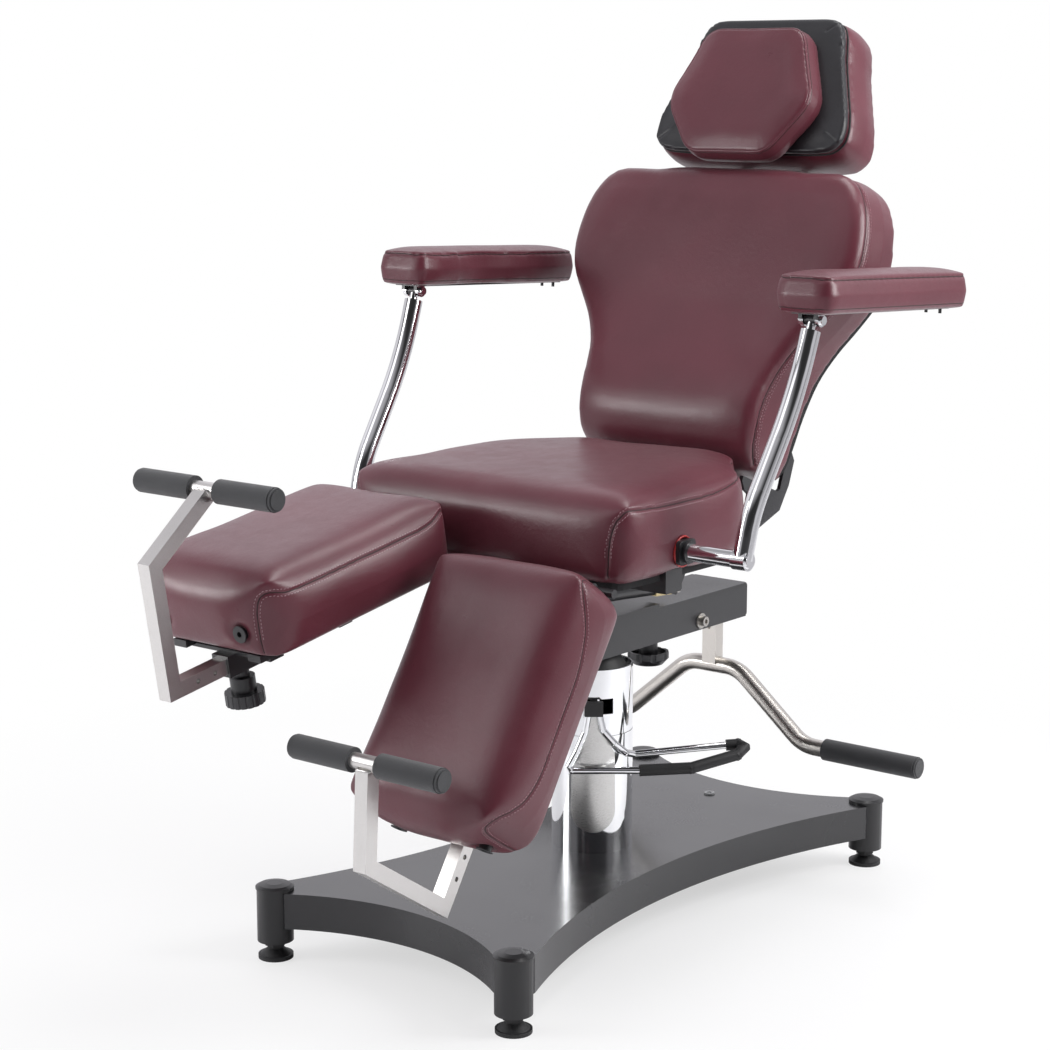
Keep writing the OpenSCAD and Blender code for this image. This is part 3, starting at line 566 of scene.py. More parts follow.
def rounded(corners, radii, steps):
    """Closed polygon with every corner rounded."""
    corners = [np.array(corner, float) for corner in corners]
    outline = []
    for i, corner in enumerate(corners):
        before, after = corners[i - 1], corners[(i + 1) % len(corners)]
        start = corner + (before - corner) / np.linalg.norm(before - corner) * radii[i]
        end = corner + (after - corner) / np.linalg.norm(after - corner) * radii[i]
        outline += arc(start, corner, end, steps)
    return np.array(outline)


def curve(stations, steps):
    """Catmull-Rom curve through the stations."""
    stations = [np.array(station, float) for station in stations]
    last = len(stations) - 1
    line = []
    for i in range(last):
        a, b = stations[max(i - 1, 0)], stations[i]
        c, d = stations[i + 1], stations[min(i + 2, last)]
        for k in range(steps):
            t = k / steps
            line.append(0.5 * ((2 * b) + (c - a) * t + (2 * a - 5 * b + 4 * c - d) * t * t
                               + (3 * b - a - 3 * c + d) * t ** 3))
    line.append(stations[-1])
    return np.array(line)


def mirrored(half):
    """Closed outline from its +x half."""
    return np.concatenate([half, half[::-1] * (-1, 1)])


def run_lengths(line):
    return np.r_[0, np.cumsum(np.linalg.norm(np.diff(line, axis=0), axis=1))]


def sample(line, lengths, at):
    return np.stack([np.interp(at, lengths, line[:, k]) for k in range(line.shape[1])], 1)


def resample(line, step, closed=True):
    line = np.asarray(line, float)
    if closed:
        line = np.concatenate([line, line[:1]])
    lengths = run_lengths(line)
    count = max(3, int(round(lengths[-1] / step)))
    return sample(line, lengths, np.linspace(0, lengths[-1], count, endpoint=not closed))


def inset(outline, distance):
    """Closed outline moved inwards by vertex normals; for small distances only."""
    after, before = np.roll(outline, -1, 0), np.roll(outline, 1, 0)
    along = unit(after - before)
    area = 0.5 * np.sum(outline[:, 0] * after[:, 1] - after[:, 0] * outline[:, 1])
    outward = np.stack([along[:, 1], -along[:, 0]], 1) * (1 if area > 0 else -1)
    return outline - distance * outward


def upright(outline, y):
    """An x, z outline set at depth y."""
    return np.c_[outline[:, 0], np.full(len(outline), y), outline[:, 1]]


def level(outline, z):
    """An x, y outline set at height z."""
    return np.c_[outline, np.full(len(outline), z)]


def smoothstep(value, low, high):
    t = np.clip((value - low) / (high - low), 0, 1)
    return t * t * (3 - 2 * t)


def smooth_line(line, times, closed=False):
    line = line.copy()
    for _ in range(times):
        if closed:
            line = 0.5 * line + 0.25 * (np.roll(line, 1, 0) + np.roll(line, -1, 0))
        else:
            line[1:-1] = 0.5 * line[1:-1] + 0.25 * (line[:-2] + line[2:])
    return line


def surface_of(mesh):
    work = bmesh.new()
    work.from_mesh(mesh)
    surface = BVHTree.FromBMesh(work)
    work.free()
    return surface


def snap(surface, points):
    """Nearest places on the surface, and the normals there."""
    hits = [surface.find_nearest(Vector(point))[:2] for point in points]
    return (np.array([place for place, _ in hits], float),
            np.array([normal for _, normal in hits], float))


def lay_line(surface, points, smoothing, closed=False):
    """A line laid on the surface, evened out and laid again."""
    line = smooth_line(snap(surface, points)[0], smoothing, closed)
    return snap(surface, line)[0]


def beside(surface, line, normals, towards, distance):
    """A line on the surface, distance metres to the side that towards points at."""
    across = unit(np.cross(unit(np.gradient(line, axis=0)), normals))
    sign = np.sign(np.sum(across * np.asarray(towards), 1).mean()) or 1
    return snap(surface, line + across * distance * sign)


# ---------------------------------------------------------------- cords and stitches
def tube(name, line, radius, material, closed=False, sides=6):
    """A round cord along a line."""
    line = np.asarray(line, float)
    count = len(line)
    if closed:
        after, before = np.roll(line, -1, 0), np.roll(line, 1, 0)
    else:
        after = np.concatenate([line[1:], line[-1:] * 2 - line[-2:-1]])
        before = np.concatenate([line[:1] * 2 - line[1:2], line[:-1]])
    along = unit(after - before)
    # One side vector is carried along the line so that the rings don't twist
    first = np.zeros_like(line)
    carried = np.cross(along[0], [0.3, 0.5, 0.8])
    for i in range(count):
        carried = unit(carried - along[i] * (carried @ along[i]))
        first[i] = carried
    second = np.cross(along, first)
    points, faces = [], []
    for i in range(count):
        for k in range(sides):
            angle = 2 * math.pi * k / sides
            points.append(line[i] + radius * (math.cos(angle) * first[i]
                                              + math.sin(angle) * second[i]))
    for i in range(count if closed else count - 1):
        j = (i + 1) % count
        for k in range(sides):
            m = (k + 1) % sides
            faces.append((i * sides + k, i * sides + m, j * sides + m, j * sides + k))
    if not closed:
        faces.append(tuple(range(sides))[::-1])
        faces.append(tuple((count - 1) * sides + k for k in range(sides)))
    return make_object(name, points, faces, material)


def cord(name, line, normals, body, radius, sink, smoothing=2, closed=False, sides=6,
         material="seam_shadow_dark"):
    """A cord sunk below the surface by sink metres. With its default dark vinyl it is a painted
    shadow line in a seam's groove.
    """
    line = smooth_line(line, smoothing, closed) - normals * sink
    attach(tube(name, line, radius, material, closed, sides), body)


# One stitch, in millimetres, and its profile from end to end
STITCH_PITCH, STITCH_LENGTH, STITCH_RADIUS, STITCH_LIFT = 5.2, 3.4, 0.52, 0.36
STITCH_ALONG = np.array([0, 0.18, 0.5, 0.82, 1.0])
STITCH_THICK = np.array([0.25, 0.85, 1.0, 0.85, 0.25])
STITCH_RISE = np.array([-0.35, 0.55, 1.0, 0.55, -0.35])
STITCH_SIDES = 5


def stitches(name, line, normals):
    """Short lens-shaped threads lying on a surface."""
    lengths = run_lengths(line)
    rings = len(STITCH_ALONG)
    radii = STITCH_THICK * STITCH_RADIUS * MM
    lifts = STITCH_RISE * STITCH_LIFT * MM
    points, faces = [], []
    start = STITCH_PITCH * MM / 2
    while start + STITCH_LENGTH * MM < lengths[-1]:
        at = STITCH_ALONG * STITCH_LENGTH * MM + start
        centres = sample(line, lengths, at)
        ups = unit(sample(normals, lengths, at))
        along = unit(centres[-1] - centres[0])
        base = len(points)
        for i in range(rings):
            up = unit(ups[i] - along * (ups[i] @ along))
            across = np.cross(along, up)
            for k in range(STITCH_SIDES):
                angle = 2 * math.pi * k / STITCH_SIDES
                points.append(centres[i] + up * lifts[i]
                              + radii[i] * (math.cos(angle) * up + math.sin(angle) * across))
        for i in range(rings - 1):
            here = base + i * STITCH_SIDES
            there = here + STITCH_SIDES
            for k in range(STITCH_SIDES):
                m = (k + 1) % STITCH_SIDES
                faces.append((here + k, here + m, there + m, there + k))
        last = base + (rings - 1) * STITCH_SIDES
        faces.append(tuple(base + k for k in range(STITCH_SIDES))[::-1])
        faces.append(tuple(last + k for k in range(STITCH_SIDES)))
        start += STITCH_PITCH * MM
    return make_object(name, points, faces, "thread_rose")


def stitch_row(name, surface, line, normals, towards, distance, body):
    """Stitches beside a seam."""
    row, row_normals = beside(surface, line, normals, towards, distance)
    attach(stitches(name, row, row_normals), body)


# ---------------------------------------------------------------- cushion forming
def base_form(node, name, place, voxel, smoothing):
    """The CAD solid as an even mesh, made in its own frame so that flat sides stay flat."""
    mesh = NODES[node].data.copy()
    mesh.transform(place.inverted())
    form = bpy.data.objects.new(name, mesh)
    SCENE.collection.objects.link(form)
    mesh.materials.clear()
    work = bmesh.new()
    work.from_mesh(mesh)
    bmesh.ops.remove_doubles(work, verts=work.verts, dist=1e-5)
    work.to_mesh(mesh)
    work.free()
    remesh = form.modifiers.new("Remesh", "REMESH")
    remesh.mode = "VOXEL"
    remesh.voxel_size = voxel
    remesh.adaptivity = 0.0
    apply_modifiers(form)
    points, edges = read_points(form.data), read_edges(form.data)
    # Alternate shrinking and growing smooths the voxel steps but keeps the volume
    for _ in range(smoothing * 2):
        points = relax(points, edges, times=1, amount=0.5)
        points = relax(points, edges, times=1, amount=-0.52)
    points = relax(points, edges, times=1, amount=0.5)
    write_points(form.data, points)
    form.data.transform(place)
    form.data.update()
    return form


def round_edge(points, first, second, radius):
    """Roll the corner between two faces, each (outward normal, offset in millimetres)."""
    normal_a, normal_b = np.array(first[0], float), np.array(second[0], float)
    into_a = np.maximum(radius - (first[1] - points @ normal_a), 0)
    into_b = np.maximum(radius - (second[1] - points @ normal_b), 0)
    reach = np.hypot(into_a, into_b)
    outside = (into_a > 0) & (into_b > 0) & (reach > radius)
    keep = np.where(outside, radius / np.maximum(reach, 1e-9), 1.0)
    move_a = np.where(outside, into_a * (1 - keep), 0)[:, None]
    move_b = np.where(outside, into_b * (1 - keep), 0)[:, None]
    return points - move_a * normal_a - move_b * normal_b


def inflate(form, pressure, cap, freedom, frames=20):
    """Cloth under pressure without gravity. A point moves at most cap metres times its
    freedom, which runs from 0 (held) to 1."""
    rest = read_points(form.data)
    modifier = form.modifiers.new("Cloth", "CLOTH")
    settings = modifier.settings
    settings.quality = 4
    settings.mass = 0.25
    settings.tension_stiffness = settings.compression_stiffness = 22
    settings.shear_stiffness = 12
    settings.bending_stiffness = 6.0
    settings.use_pressure = True
    settings.uniform_pressure_force = pressure
    settings.effector_weights.gravity = 0.0
    modifier.point_cache.frame_start = 1
    modifier.point_cache.frame_end = frames
    SCENE.frame_start, SCENE.frame_end = 1, frames
    for number in range(1, frames + 1):
        SCENE.frame_set(number)
    graph = bpy.context.evaluated_depsgraph_get()
    now = read_points(form.evaluated_get(graph).data)
    form.modifiers.clear()
    SCENE.frame_set(1)
    move = now - rest
    length = np.linalg.norm(move, axis=1)
    capped = cap * np.tanh(length / cap)
    move *= (capped / np.maximum(length, 1e-9))[:, None]
    move *= freedom[:, None]
    edges = read_edges(form.data)
    move = relax(move, edges, times=22, amount=0.6)
    write_points(form.data, relax(rest + move, edges, times=1, amount=0.4))


def seam_distance(points, lines):
    """Distance in millimetres from each point to the nearest seam point."""
    seam_points = np.concatenate(lines)
    nearest = KDTree(len(seam_points))
    for i, point in enumerate(seam_points):
        nearest.insert(point, i)
    nearest.balance()
    return np.array([nearest.find(point)[2] for point in points]) * 1000.0


def wobble(points, seed, amount=0.4, wave=0.13):
    """Slow unevenness of stuffed foam: amount in millimetres, wavelength in metres."""
    random = np.random.default_rng(seed)
    total = np.zeros(len(points))
    for _ in range(7):
        direction = random.normal(size=3)
        direction = (direction / np.linalg.norm(direction) * 2 * math.pi
                     / (wave * random.uniform(0.7, 1.6)))
        total += np.sin(points @ direction + random.uniform(0, 6.28))
    return amount * total / 3.0


def dress(form, lines, swell, reach, depth, width, seed, grommets=()):
    """Crown each panel by swell over reach from its seams, and pull the seams in by depth
    over width, all in millimetres. The surface is also drawn in round each grommet."""
    points, normals = read_points(form.data), read_normals(form.data)
    distance = seam_distance(points, lines)
    move = (swell * (1 - np.exp(-(distance / reach) ** 1.6))
            - depth * np.exp(-(distance / width) ** 2))
    move = move + wobble(points, seed) * (1 - np.exp(-(distance / 30) ** 2))
    for grommet in grommets:
        away = np.linalg.norm(points - np.array(grommet), axis=1) * 1000.0
        move = move * (1 - np.exp(-(away / 22.0) ** 4)) - 1.6 * np.exp(-(away / 16.0) ** 4)
    write_points(form.data, points + normals * (move * MM)[:, None])


def cover(form, node, body, material="vinyl_burgundy"):
    """Give a form its vinyl and put it in the place of its CAD node."""
    form.data.materials.clear()
    form.data.materials.append(MATERIALS[material])
    shade_smooth(form.data)
    attach(form, body)
    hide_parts(node)


FRONTWARD, REARWARD, UPWARD, DOWNWARD = (0, -1, 0), (0, 1, 0), (0, 0, 1), (0, 0, -1)

# ---------------------------------------------------------------- seat
SEAT_TOP, SEAT_BOTTOM = 706.2, 592.2
SEAT_FRONT, SEAT_HALF = 267.0, 264.0
# Plan of the seat: x, y of each corner, then the corner radii
SEAT_CORNERS = [
    [-SEAT_HALF, -SEAT_FRONT], [SEAT_HALF, -SEAT_FRONT], [SEAT_HALF, 16], [250, 55], [168, 148],
    [160, 172], [-160, 172], [-168, 148], [-250, 55], [-SEAT_HALF, 16]]
SEAT_RADII = [46, 46, 18, 22, 12, 8, 8, 12, 22, 18]
# Left top seam, x, y, z: up the front corner, back along the side, round the rear shoulder
SEAT_SEAM = [
    [235, -267, SEAT_BOTTOM + 2], [234, -267, 612], [234, -267, 636], [237, -266, 658],
    [242, -264, 675], [250, -260, 688], [258, -250, 696], [263, -234, 698], [264, -210, 697],
    [264, -185, 695],
    *([264, y, 694] for y in range(-170, -60, 10)),
    [264, -55, 694.5], [264, -35, 696], [264, -18, 699], [263, 0, 703], [259, 18, 705],
    [247, 46, 705], [235, 64, 705], [205, 98, 705], [172, 136, 705], [162, 160, 705]]


def build_seat():
    """The top panel runs over the front edge; the sides are separate boxing."""
    seat = base_form("seat_cushion", "seat_upholstery", SEAT, COARSE_VOXEL, smoothing=2)
    local = to_local(SEAT, read_points(seat.data))
    front, top = (FRONTWARD, SEAT_FRONT), (UPWARD, SEAT_TOP)
    local = round_edge(local, front, top, radius=40)
    local = round_edge(local, front, (DOWNWARD, -SEAT_BOTTOM), radius=12)
    for side, _ in SIDES:
        local = round_edge(local, ((side, 0, 0), SEAT_HALF), top, radius=22)
    # The top rises by 5 mm towards the rear
    local[:, 2] += (5.0 * smoothstep(local[:, 2], 660, 700) * smoothstep(local[:, 1], -180, 60)
                    * smoothstep(SEAT_HALF - np.abs(local[:, 0]), 0, 90))
    local = relax(local, read_edges(seat.data), times=5, amount=0.5)
    write_points(seat.data, to_world(SEAT, local))
    inflate(seat, pressure=4.0, cap=0.007,
            freedom=smoothstep(local[:, 2], SEAT_BOTTOM + 3, SEAT_BOTTOM + 30))
    subdivide(seat, SUBDIVISION)

    surface = surface_of(seat.data)
    seams = []
    for side, _ in SIDES:
        path = resample(np.array(SEAT_SEAM, float) * (side, 1, 1), 3.0, closed=False)
        seams.append(lay_line(surface, to_world(SEAT, path), smoothing=6))
    plan = rounded(SEAT_CORNERS, SEAT_RADII, steps=8)
    hem = to_world(SEAT, resample(level(plan, SEAT_BOTTOM), 6))
    dress(seat, seams + [hem], swell=5.0, reach=26.0, depth=2.0, width=2.6, seed=3)
    surface = surface_of(seat.data)
    cover(seat, "seat_cushion", "seat")

    for (side, tag), seam in zip(SIDES, seams):
        line, normals = snap(surface, seam)
        # A dark cord along the seam: a painted shadow line in its groove
        cord("seat_seam_shadow_" + tag, line, normals, "seat", radius=0.0011, sink=0.0004)
        local = to_local(SEAT, line)
        sewn = (local[:, 2] > 625) & (local[:, 1] < -60)
        for name, towards in (("seat_stitch_", DOWNWARD), ("seat_stitch_in_", (-side, 0, 1))):
            stitch_row(name + tag, surface, line[sewn], normals[sewn], towards, 0.0048, "seat")


# ---------------------------------------------------------------- leg rests
# The cushion runs from y = -3 at its seat end to y = -392 at its far end, on z = 0. Its
# middle is shifted outwards, away from the other leg rest.
LEG_HALF, LEG_SHIFT = 137.0, 11.0
LEG_TOP, LEG_LENGTH, LEG_NEAR = 112.0, 392.0, -3.0
GROMMET_X, GROMMET_Z = 76.0, 32.0
# Side seams; columns are distance in from the side, y, z
LEG_SEAM_FAR = [
    [26, -392, 2], [27, -392, 20], [28, -392, 44], [27, -392, 64], [24, -392, 78],
    [18, -391, 87], [10, -386, 91], [4, -376, 91], [1, -364, 89]]
LEG_SEAM_OUTER = [
    [0, -345, 76], [0, -325, 64], [0, -300, 56],
    *([0, y, 52] for y in range(-275, -150, 12)),
    [0, -130, 54], [0, -105, 60], [0, -80, 68], [0, -60, 80], [1, -42, 92], [4, -28, 98],
    [8, -16, 98], [12, -8, 90]]
LEG_SEAM_INNER = [
    *([0, y, 86] for y in range(-350, -70, 10)),
    [0, -60, 88], [0, -44, 92], [2, -30, 97], [6, -18, 98], [11, -9, 90]]
LEG_SEAM_NEAR = [[14, -4, 70], [15, -3, 20]]


def leg_form(side, tag, widths, grommets):
    place = LEG[side]
    leg = base_form("leg_cushion_" + tag, "leg_upholstery_" + tag, place, MEDIUM_VOXEL,
                    smoothing=2)
    local = to_local(place, read_points(leg.data))
    far, near = (FRONTWARD, LEG_LENGTH), (REARWARD, LEG_NEAR)
    top, bottom = (UPWARD, LEG_TOP), (DOWNWARD, 0.0)
    flanks = {flank: ((flank, 0, 0), widths[flank]) for flank in (1, -1)}
    for flank, face in flanks.items():
        local = round_edge(local, face, far, radius=74 if flank == side else 58)
        local = round_edge(local, face, near, radius=42)
    local = round_edge(local, far, top, radius=42)
    local = round_edge(local, near, top, radius=32)
    local = round_edge(local, far, bottom, radius=16)
    for face in flanks.values():
        local = round_edge(local, face, top, radius=36)
        local = round_edge(local, face, bottom, radius=12)
    local = relax(local, read_edges(leg.data), times=9, amount=0.5)
    write_points(leg.data, to_world(place, local))
    freedom = smoothstep(local[:, 2], 3, 26)
    for x in grommets:
        away = (np.hypot(local[:, 0] - x, local[:, 2] - GROMMET_Z)
                + np.maximum(0, local[:, 1] + (LEG_LENGTH - 22)) * 2)
        freedom *= smoothstep(away, 12, 34)
    inflate(leg, pressure=4.0, cap=0.004, freedom=freedom)
    subdivide(leg, SUBDIVISION)
    return leg


def build_leg(side, tag):
    place, body = LEG[side], "leg_" + tag
    widths = {side: LEG_HALF + LEG_SHIFT, -side: LEG_HALF - LEG_SHIFT}
    grommets = [x + side * LEG_SHIFT for x in (-GROMMET_X, GROMMET_X)]
    leg = leg_form(side, tag, widths, grommets)

    surface = surface_of(leg.data)
    seams = []
    for flank in (1, -1):
        middle = LEG_SEAM_OUTER if flank == side else LEG_SEAM_INNER
        path = [[flank * (widths[flank] - x), y, z]
                for x, y, z in LEG_SEAM_FAR + middle + LEG_SEAM_NEAR]
        path = resample(path, 3.0, closed=False)
        seams.append(lay_line(surface, to_world(place, path), smoothing=6))
    plan = rounded([[-LEG_HALF, -LEG_LENGTH], [LEG_HALF, -LEG_LENGTH], [LEG_HALF, LEG_NEAR],
                    [-LEG_HALF, LEG_NEAR]], radii=[32, 32, 22, 22], steps=6)
    plan = plan + (side * LEG_SHIFT, 0.0)
    hem = to_world(place, resample(level(plan, 0.0), 6))
    dress(leg, seams + [hem], swell=3.6, reach=44.0, depth=1.4, width=2.4, seed=5 + side,
          grommets=[place @ Vector((x * MM, -LEG_LENGTH * MM, GROMMET_Z * MM))
                    for x in grommets])
    surface = surface_of(leg.data)
    cover(leg, "leg_cushion_" + tag, body)

    for flank, letter, seam in zip((1, -1), "ab", seams):
        line, normals = snap(surface, seam)
        # A dark cord along the seam: a painted shadow line in its groove
        cord("leg_%s_seam_%s" % (tag, letter), line, normals, body, radius=0.0011, sink=0.0004)
        local = to_local(place, line)
        sewn = (local[:, 1] > -388) & (local[:, 2] > 20) & (local[:, 1] < -20)
        for kind, towards in (("stitch", (flank, 0, -1)), ("stitch_in", (-flank, 0, 0.6))):
            stitch_row("leg_%s_%s_%s" % (tag, kind, letter), surface, line[sewn],
                       normals[sewn], turned(place, towards), 0.0046, body)


# ---------------------------------------------------------------- back
BACK_TOP = 484.0
# Left half of the back seen from the front: x, z
BACK_HALF = curve([
    [152, -10], [165, 6], [173, 45], [180, 100], [194, 160], [218, 210], [249, 257],
    [274, 302], [282, 345], [277, 398], [262, 440], [240, 467], [202, 482], [150, BACK_TOP],
], steps=6)
# Profile of the front face: y, z
BACK_FACE = curve([
    [34, -12], [8, 0], [-14, 20], [-25, 50], [-28, 85], [-22, 130], [-10, 180], [-2, 230],
    [0, 280], [0, 440], [3, 486]], steps=4)


def roll_back_sides(local, radius=20.0):
    """Roll the front face of the back into its curved sides."""
    half = resample(BACK_HALF, 2.0, closed=False)
    side_x = np.interp(local[:, 2], half[:, 1], half[:, 0])
    face_y = np.interp(local[:, 2], BACK_FACE[:, 1], BACK_FACE[:, 0])
    into_side = np.maximum(radius - (side_x - np.abs(local[:, 0])), 0)
    into_face = np.maximum(radius - (local[:, 1] - face_y), 0)
    reach = np.hypot(into_side, into_face)
    outside = (into_side > 0) & (into_face > 0) & (reach > radius) & (local[:, 2] < 470)
    keep = np.where(outside, radius / np.maximum(reach, 1e-9), 1.0)
    local[:, 0] -= np.sign(local[:, 0]) * into_side * (1 - keep)
    local[:, 1] += into_face * (1 - keep)


def back_seam(side):
    """Side seam, 14 mm behind the face and further back near the top."""
    path = []
    for x, z in BACK_HALF[BACK_HALF[:, 1] > -4]:
        y = float(np.interp(z, BACK_FACE[:, 1], BACK_FACE[:, 0])) + 14.0
        if z > 455:
            y += (z - 455) * 0.30
        path.append([side * (x - 1.0), y, z])
    return resample(path, 3.0, closed=False)


def build_back():
    back = base_form("back_cushion", "back_upholstery", BACK, COARSE_VOXEL, smoothing=7)
    local = to_local(BACK, read_points(back.data))
    local = round_edge(local, (FRONTWARD, 0.0), (UPWARD, BACK_TOP), radius=26)
    roll_back_sides(local)
    write_points(back.data, to_world(BACK, local))
    inflate(back, pressure=4.0, cap=0.008, freedom=smoothstep(-local[:, 1], -97, -72))
    subdivide(back, SUBDIVISION)

    surface = surface_of(back.data)
    seams = [lay_line(surface, to_world(BACK, back_seam(side)), smoothing=8)
             for side, _ in SIDES]
    rear = to_world(BACK, resample(upright(mirrored(BACK_HALF), 100.0), 6))
    dress(back, seams + [rear], swell=6.0, reach=34.0, depth=2.2, width=2.8, seed=9)
    surface = surface_of(back.data)
    cover(back, "back_cushion", "back")

    for (side, tag), seam in zip(SIDES, seams):
        line, normals = snap(surface, seam)
        # A dark cord along the seam: a painted shadow line in its groove
        cord("back_seam_shadow_" + tag, line, normals, "back", radius=0.0012, sink=0.0004)
        towards = turned(BACK, (side * 0.4, 1, 0))
        sewn = to_local(BACK, line)[:, 2] < 470
        for row, distance in ((1, 0.0052), (2, 0.0092)):
            stitch_row("back_stitch%d_%s" % (row, tag), surface, line[sewn], normals[sewn],
                       towards, distance, "back")


# ---------------------------------------------------------------- headrest
# Headrest seen from the front, x, z; the table is its left half
HEAD_OUTLINE = mirrored(curve([
    [120, 0], [158, 3], [178, 16], [184, 36], [180, 66], [165, 112], [149, 160], [138, 204],
    [125, 227], [98, 234]], steps=6))
# Pleats at the left corners of the face: x, z of the outer end, then of the inner end
PLEATS = (((127, 227), (105, 208)), ((174, 18), (150, 34)))


def build_head_box():
    """Burgundy box behind the face."""
    box = base_form("head_cushion", "head_upholstery", HEAD, MEDIUM_VOXEL, smoothing=6)
    local = to_local(HEAD, read_points(box.data))
    inflate(box, pressure=3.0, cap=0.004, freedom=smoothstep(-local[:, 1], -97, -80))
    subdivide(box, SUBDIVISION)
    seams = [to_world(HEAD, resample(upright(HEAD_OUTLINE, y), 4)) for y in (16.5, 99.0)]
    dress(box, seams, swell=5.0, reach=22.0, depth=1.5, width=2.6, seed=11)
    cover(box, "head_cushion", "head")
    return box


def build_head_panel():
    """Black face, crowned in the middle, with a pleat at each corner."""
    panel = base_form("head_panel", "head_face", HEAD, 0.004, smoothing=5)
    subdivide(panel, 1)
    surface = surface_of(panel.data)
    edge = inset(HEAD_OUTLINE * 0.975 + (0, 3), 5.0)
    rim, _ = snap(surface, to_world(HEAD, resample(upright(edge, 0.0), 3)))
    pleats = []
    t = np.linspace(0, 1, 14)
    for side, _ in SIDES:
        for (x0, z0), (x1, z1) in PLEATS:
            pleat = np.c_[side * (x0 + (x1 - x0) * t), np.ones(len(t)), z0 + (z1 - z0) * t]
            pleats.append(snap(surface, to_world(HEAD, pleat))[0])
    points, normals = read_points(panel.data), read_normals(panel.data)
    in_front = smoothstep(-to_local(HEAD, points)[:, 1], -14, -6)
    crown = 7.0 * (1 - np.exp(-(seam_distance(points, [rim]) / 30.0) ** 1.5)) * in_front
    move = crown - 1.4 * np.exp(-(seam_distance(points, pleats) / 2.2) ** 2)
    write_points(panel.data, points + normals * (move * MM)[:, None])
    cover(panel, "head_panel", "head", "vinyl_black")


def build_head():
    box = build_head_box()
    build_head_panel()
    seam = resample(upright(HEAD_OUTLINE * 0.988 + (0, 1.4), 16.4), 3)
    line, normals = snap(surface_of(box.data), to_world(HEAD, seam))
    # A near-black cord round the face: a painted shadow line at its seam
    cord("head_face_seam_shadow", line, normals, "head", radius=0.0016, sink=0.0, closed=True,
         material="seam_shadow_black")


# ---------------------------------------------------------------- neck pillow
# Six-sided outline seen from the front, x, z about its middle, and the corner radii
PILLOW_CORNERS = [[-76, -108], [76, -108], [140, -18], [90, 108], [-90, 108], [-140, -18]]
PILLOW_RADII = [22, 22, 26, 24, 24, 26]
PILLOW_MIDDLE_Z = 88


def build_pillow():
    """Pillow on the front of the headrest, with a welt round its face."""
    pillow = base_form("head_pillow", "pillow_upholstery", HEAD, 0.0045,
                       smoothing=2)
    local = to_local(HEAD, read_points(pillow.data))
    inflate(pillow, pressure=4.0, cap=0.003, freedom=smoothstep(-local[:, 1], -2, 14))
    subdivide(pillow, SUBDIVISION)
    outline = rounded(PILLOW_CORNERS, PILLOW_RADII, steps=8) + (0, PILLOW_MIDDLE_Z)
    outline = resample(outline, 3)
    welt = lay_line(surface_of(pillow.data), to_world(HEAD, upright(inset(outline, 2.5), -43.0)),
                    smoothing=5, closed=True)
    rear = to_world(HEAD, upright(outline, -0.3))
    dress(pillow, [welt, rear], swell=4.5, reach=24.0, depth=1.2, width=2.6, seed=13)
    surface = surface_of(pillow.data)
    cover(pillow, "head_pillow", "head")

    line, normals = snap(surface, welt)
    cord("pillow_welt", line, normals, "head", radius=0.0019, sink=-0.0003, smoothing=3,
         closed=True, sides=8, material="vinyl_burgundy")
    # The painted shadow line in the seam behind the welt is offset from the closed loop, then
    # its repeated end dropped
    line, normals = beside(surface, np.concatenate([line, line[:1]]),
                           np.concatenate([normals, normals[:1]]),
                           turned(HEAD, REARWARD), 0.0040)
    cord("pillow_welt_seam_shadow", line[:-1], normals[:-1], "head", radius=0.0007, sink=0.0003,
         smoothing=0, closed=True)


# ---------------------------------------------------------------- arm pads
PAD_LENGTH = 391.0
# Inner edge of the left pad, x, y, drawn for a length of PAD_DRAWN
PAD_INNER = [[-41, 3], [-45, 40], [-38, 110], [-36, 170], [-44, 250], [-48, 330], [-42, 382]]
PAD_DRAWN = 385


def pad_outline(side):
    end = PAD_LENGTH
    points = [[x, y * end / PAD_DRAWN] for x, y in curve(PAD_INNER, steps=5)]
    points += [[-34, end * 0.998], [-24, end]]
    points += arc([34, end], [49, end], [49, end - 15], steps=6)
    points += arc([49, 14], [49, -5], [28, -5], steps=6)
    points += [[-24, -5], [-36, -2]]
    outline = np.array(points, float)
    if side < 0:
        outline = (outline * (-1, 1))[::-1]
    return outline


def build_pad(side, tag):
    place, body = PAD[side], "pad_" + tag
    pad = base_form("arm_pad_" + tag, "pad_upholstery_" + tag, place,
                    0.005, smoothing=2)
    local = to_local(place, read_points(pad.data))
    inflate(pad, pressure=3.0, cap=0.004, freedom=smoothstep(local[:, 2], -48, -34))
    subdivide(pad, 1)
    outline = resample(pad_outline(side), 3)
    top = lay_line(surface_of(pad.data), to_world(place, level(inset(outline, 1.5), -3.0)),
                   smoothing=6, closed=True)
    bottom = to_world(place, level(outline, -48.5))
    dress(pad, [top, bottom], swell=5.0, reach=20.0, depth=1.6, width=2.2, seed=17 + side)
    surface = surface_of(pad.data)
    cover(pad, "arm_pad_" + tag, body)
    line, normals = snap(surface, top)
    # Dark cords along the top seam and the hem: painted shadow lines
    cord("pad_%s_seam" % tag, line, normals, body, radius=0.0010, sink=0.0003, closed=True)
    line, normals = snap(surface, to_world(place, level(inset(outline, 0.5), -45.0)))
    cord("pad_%s_hem" % tag, line, normals, body, radius=0.0009, sink=0.0004, closed=True)


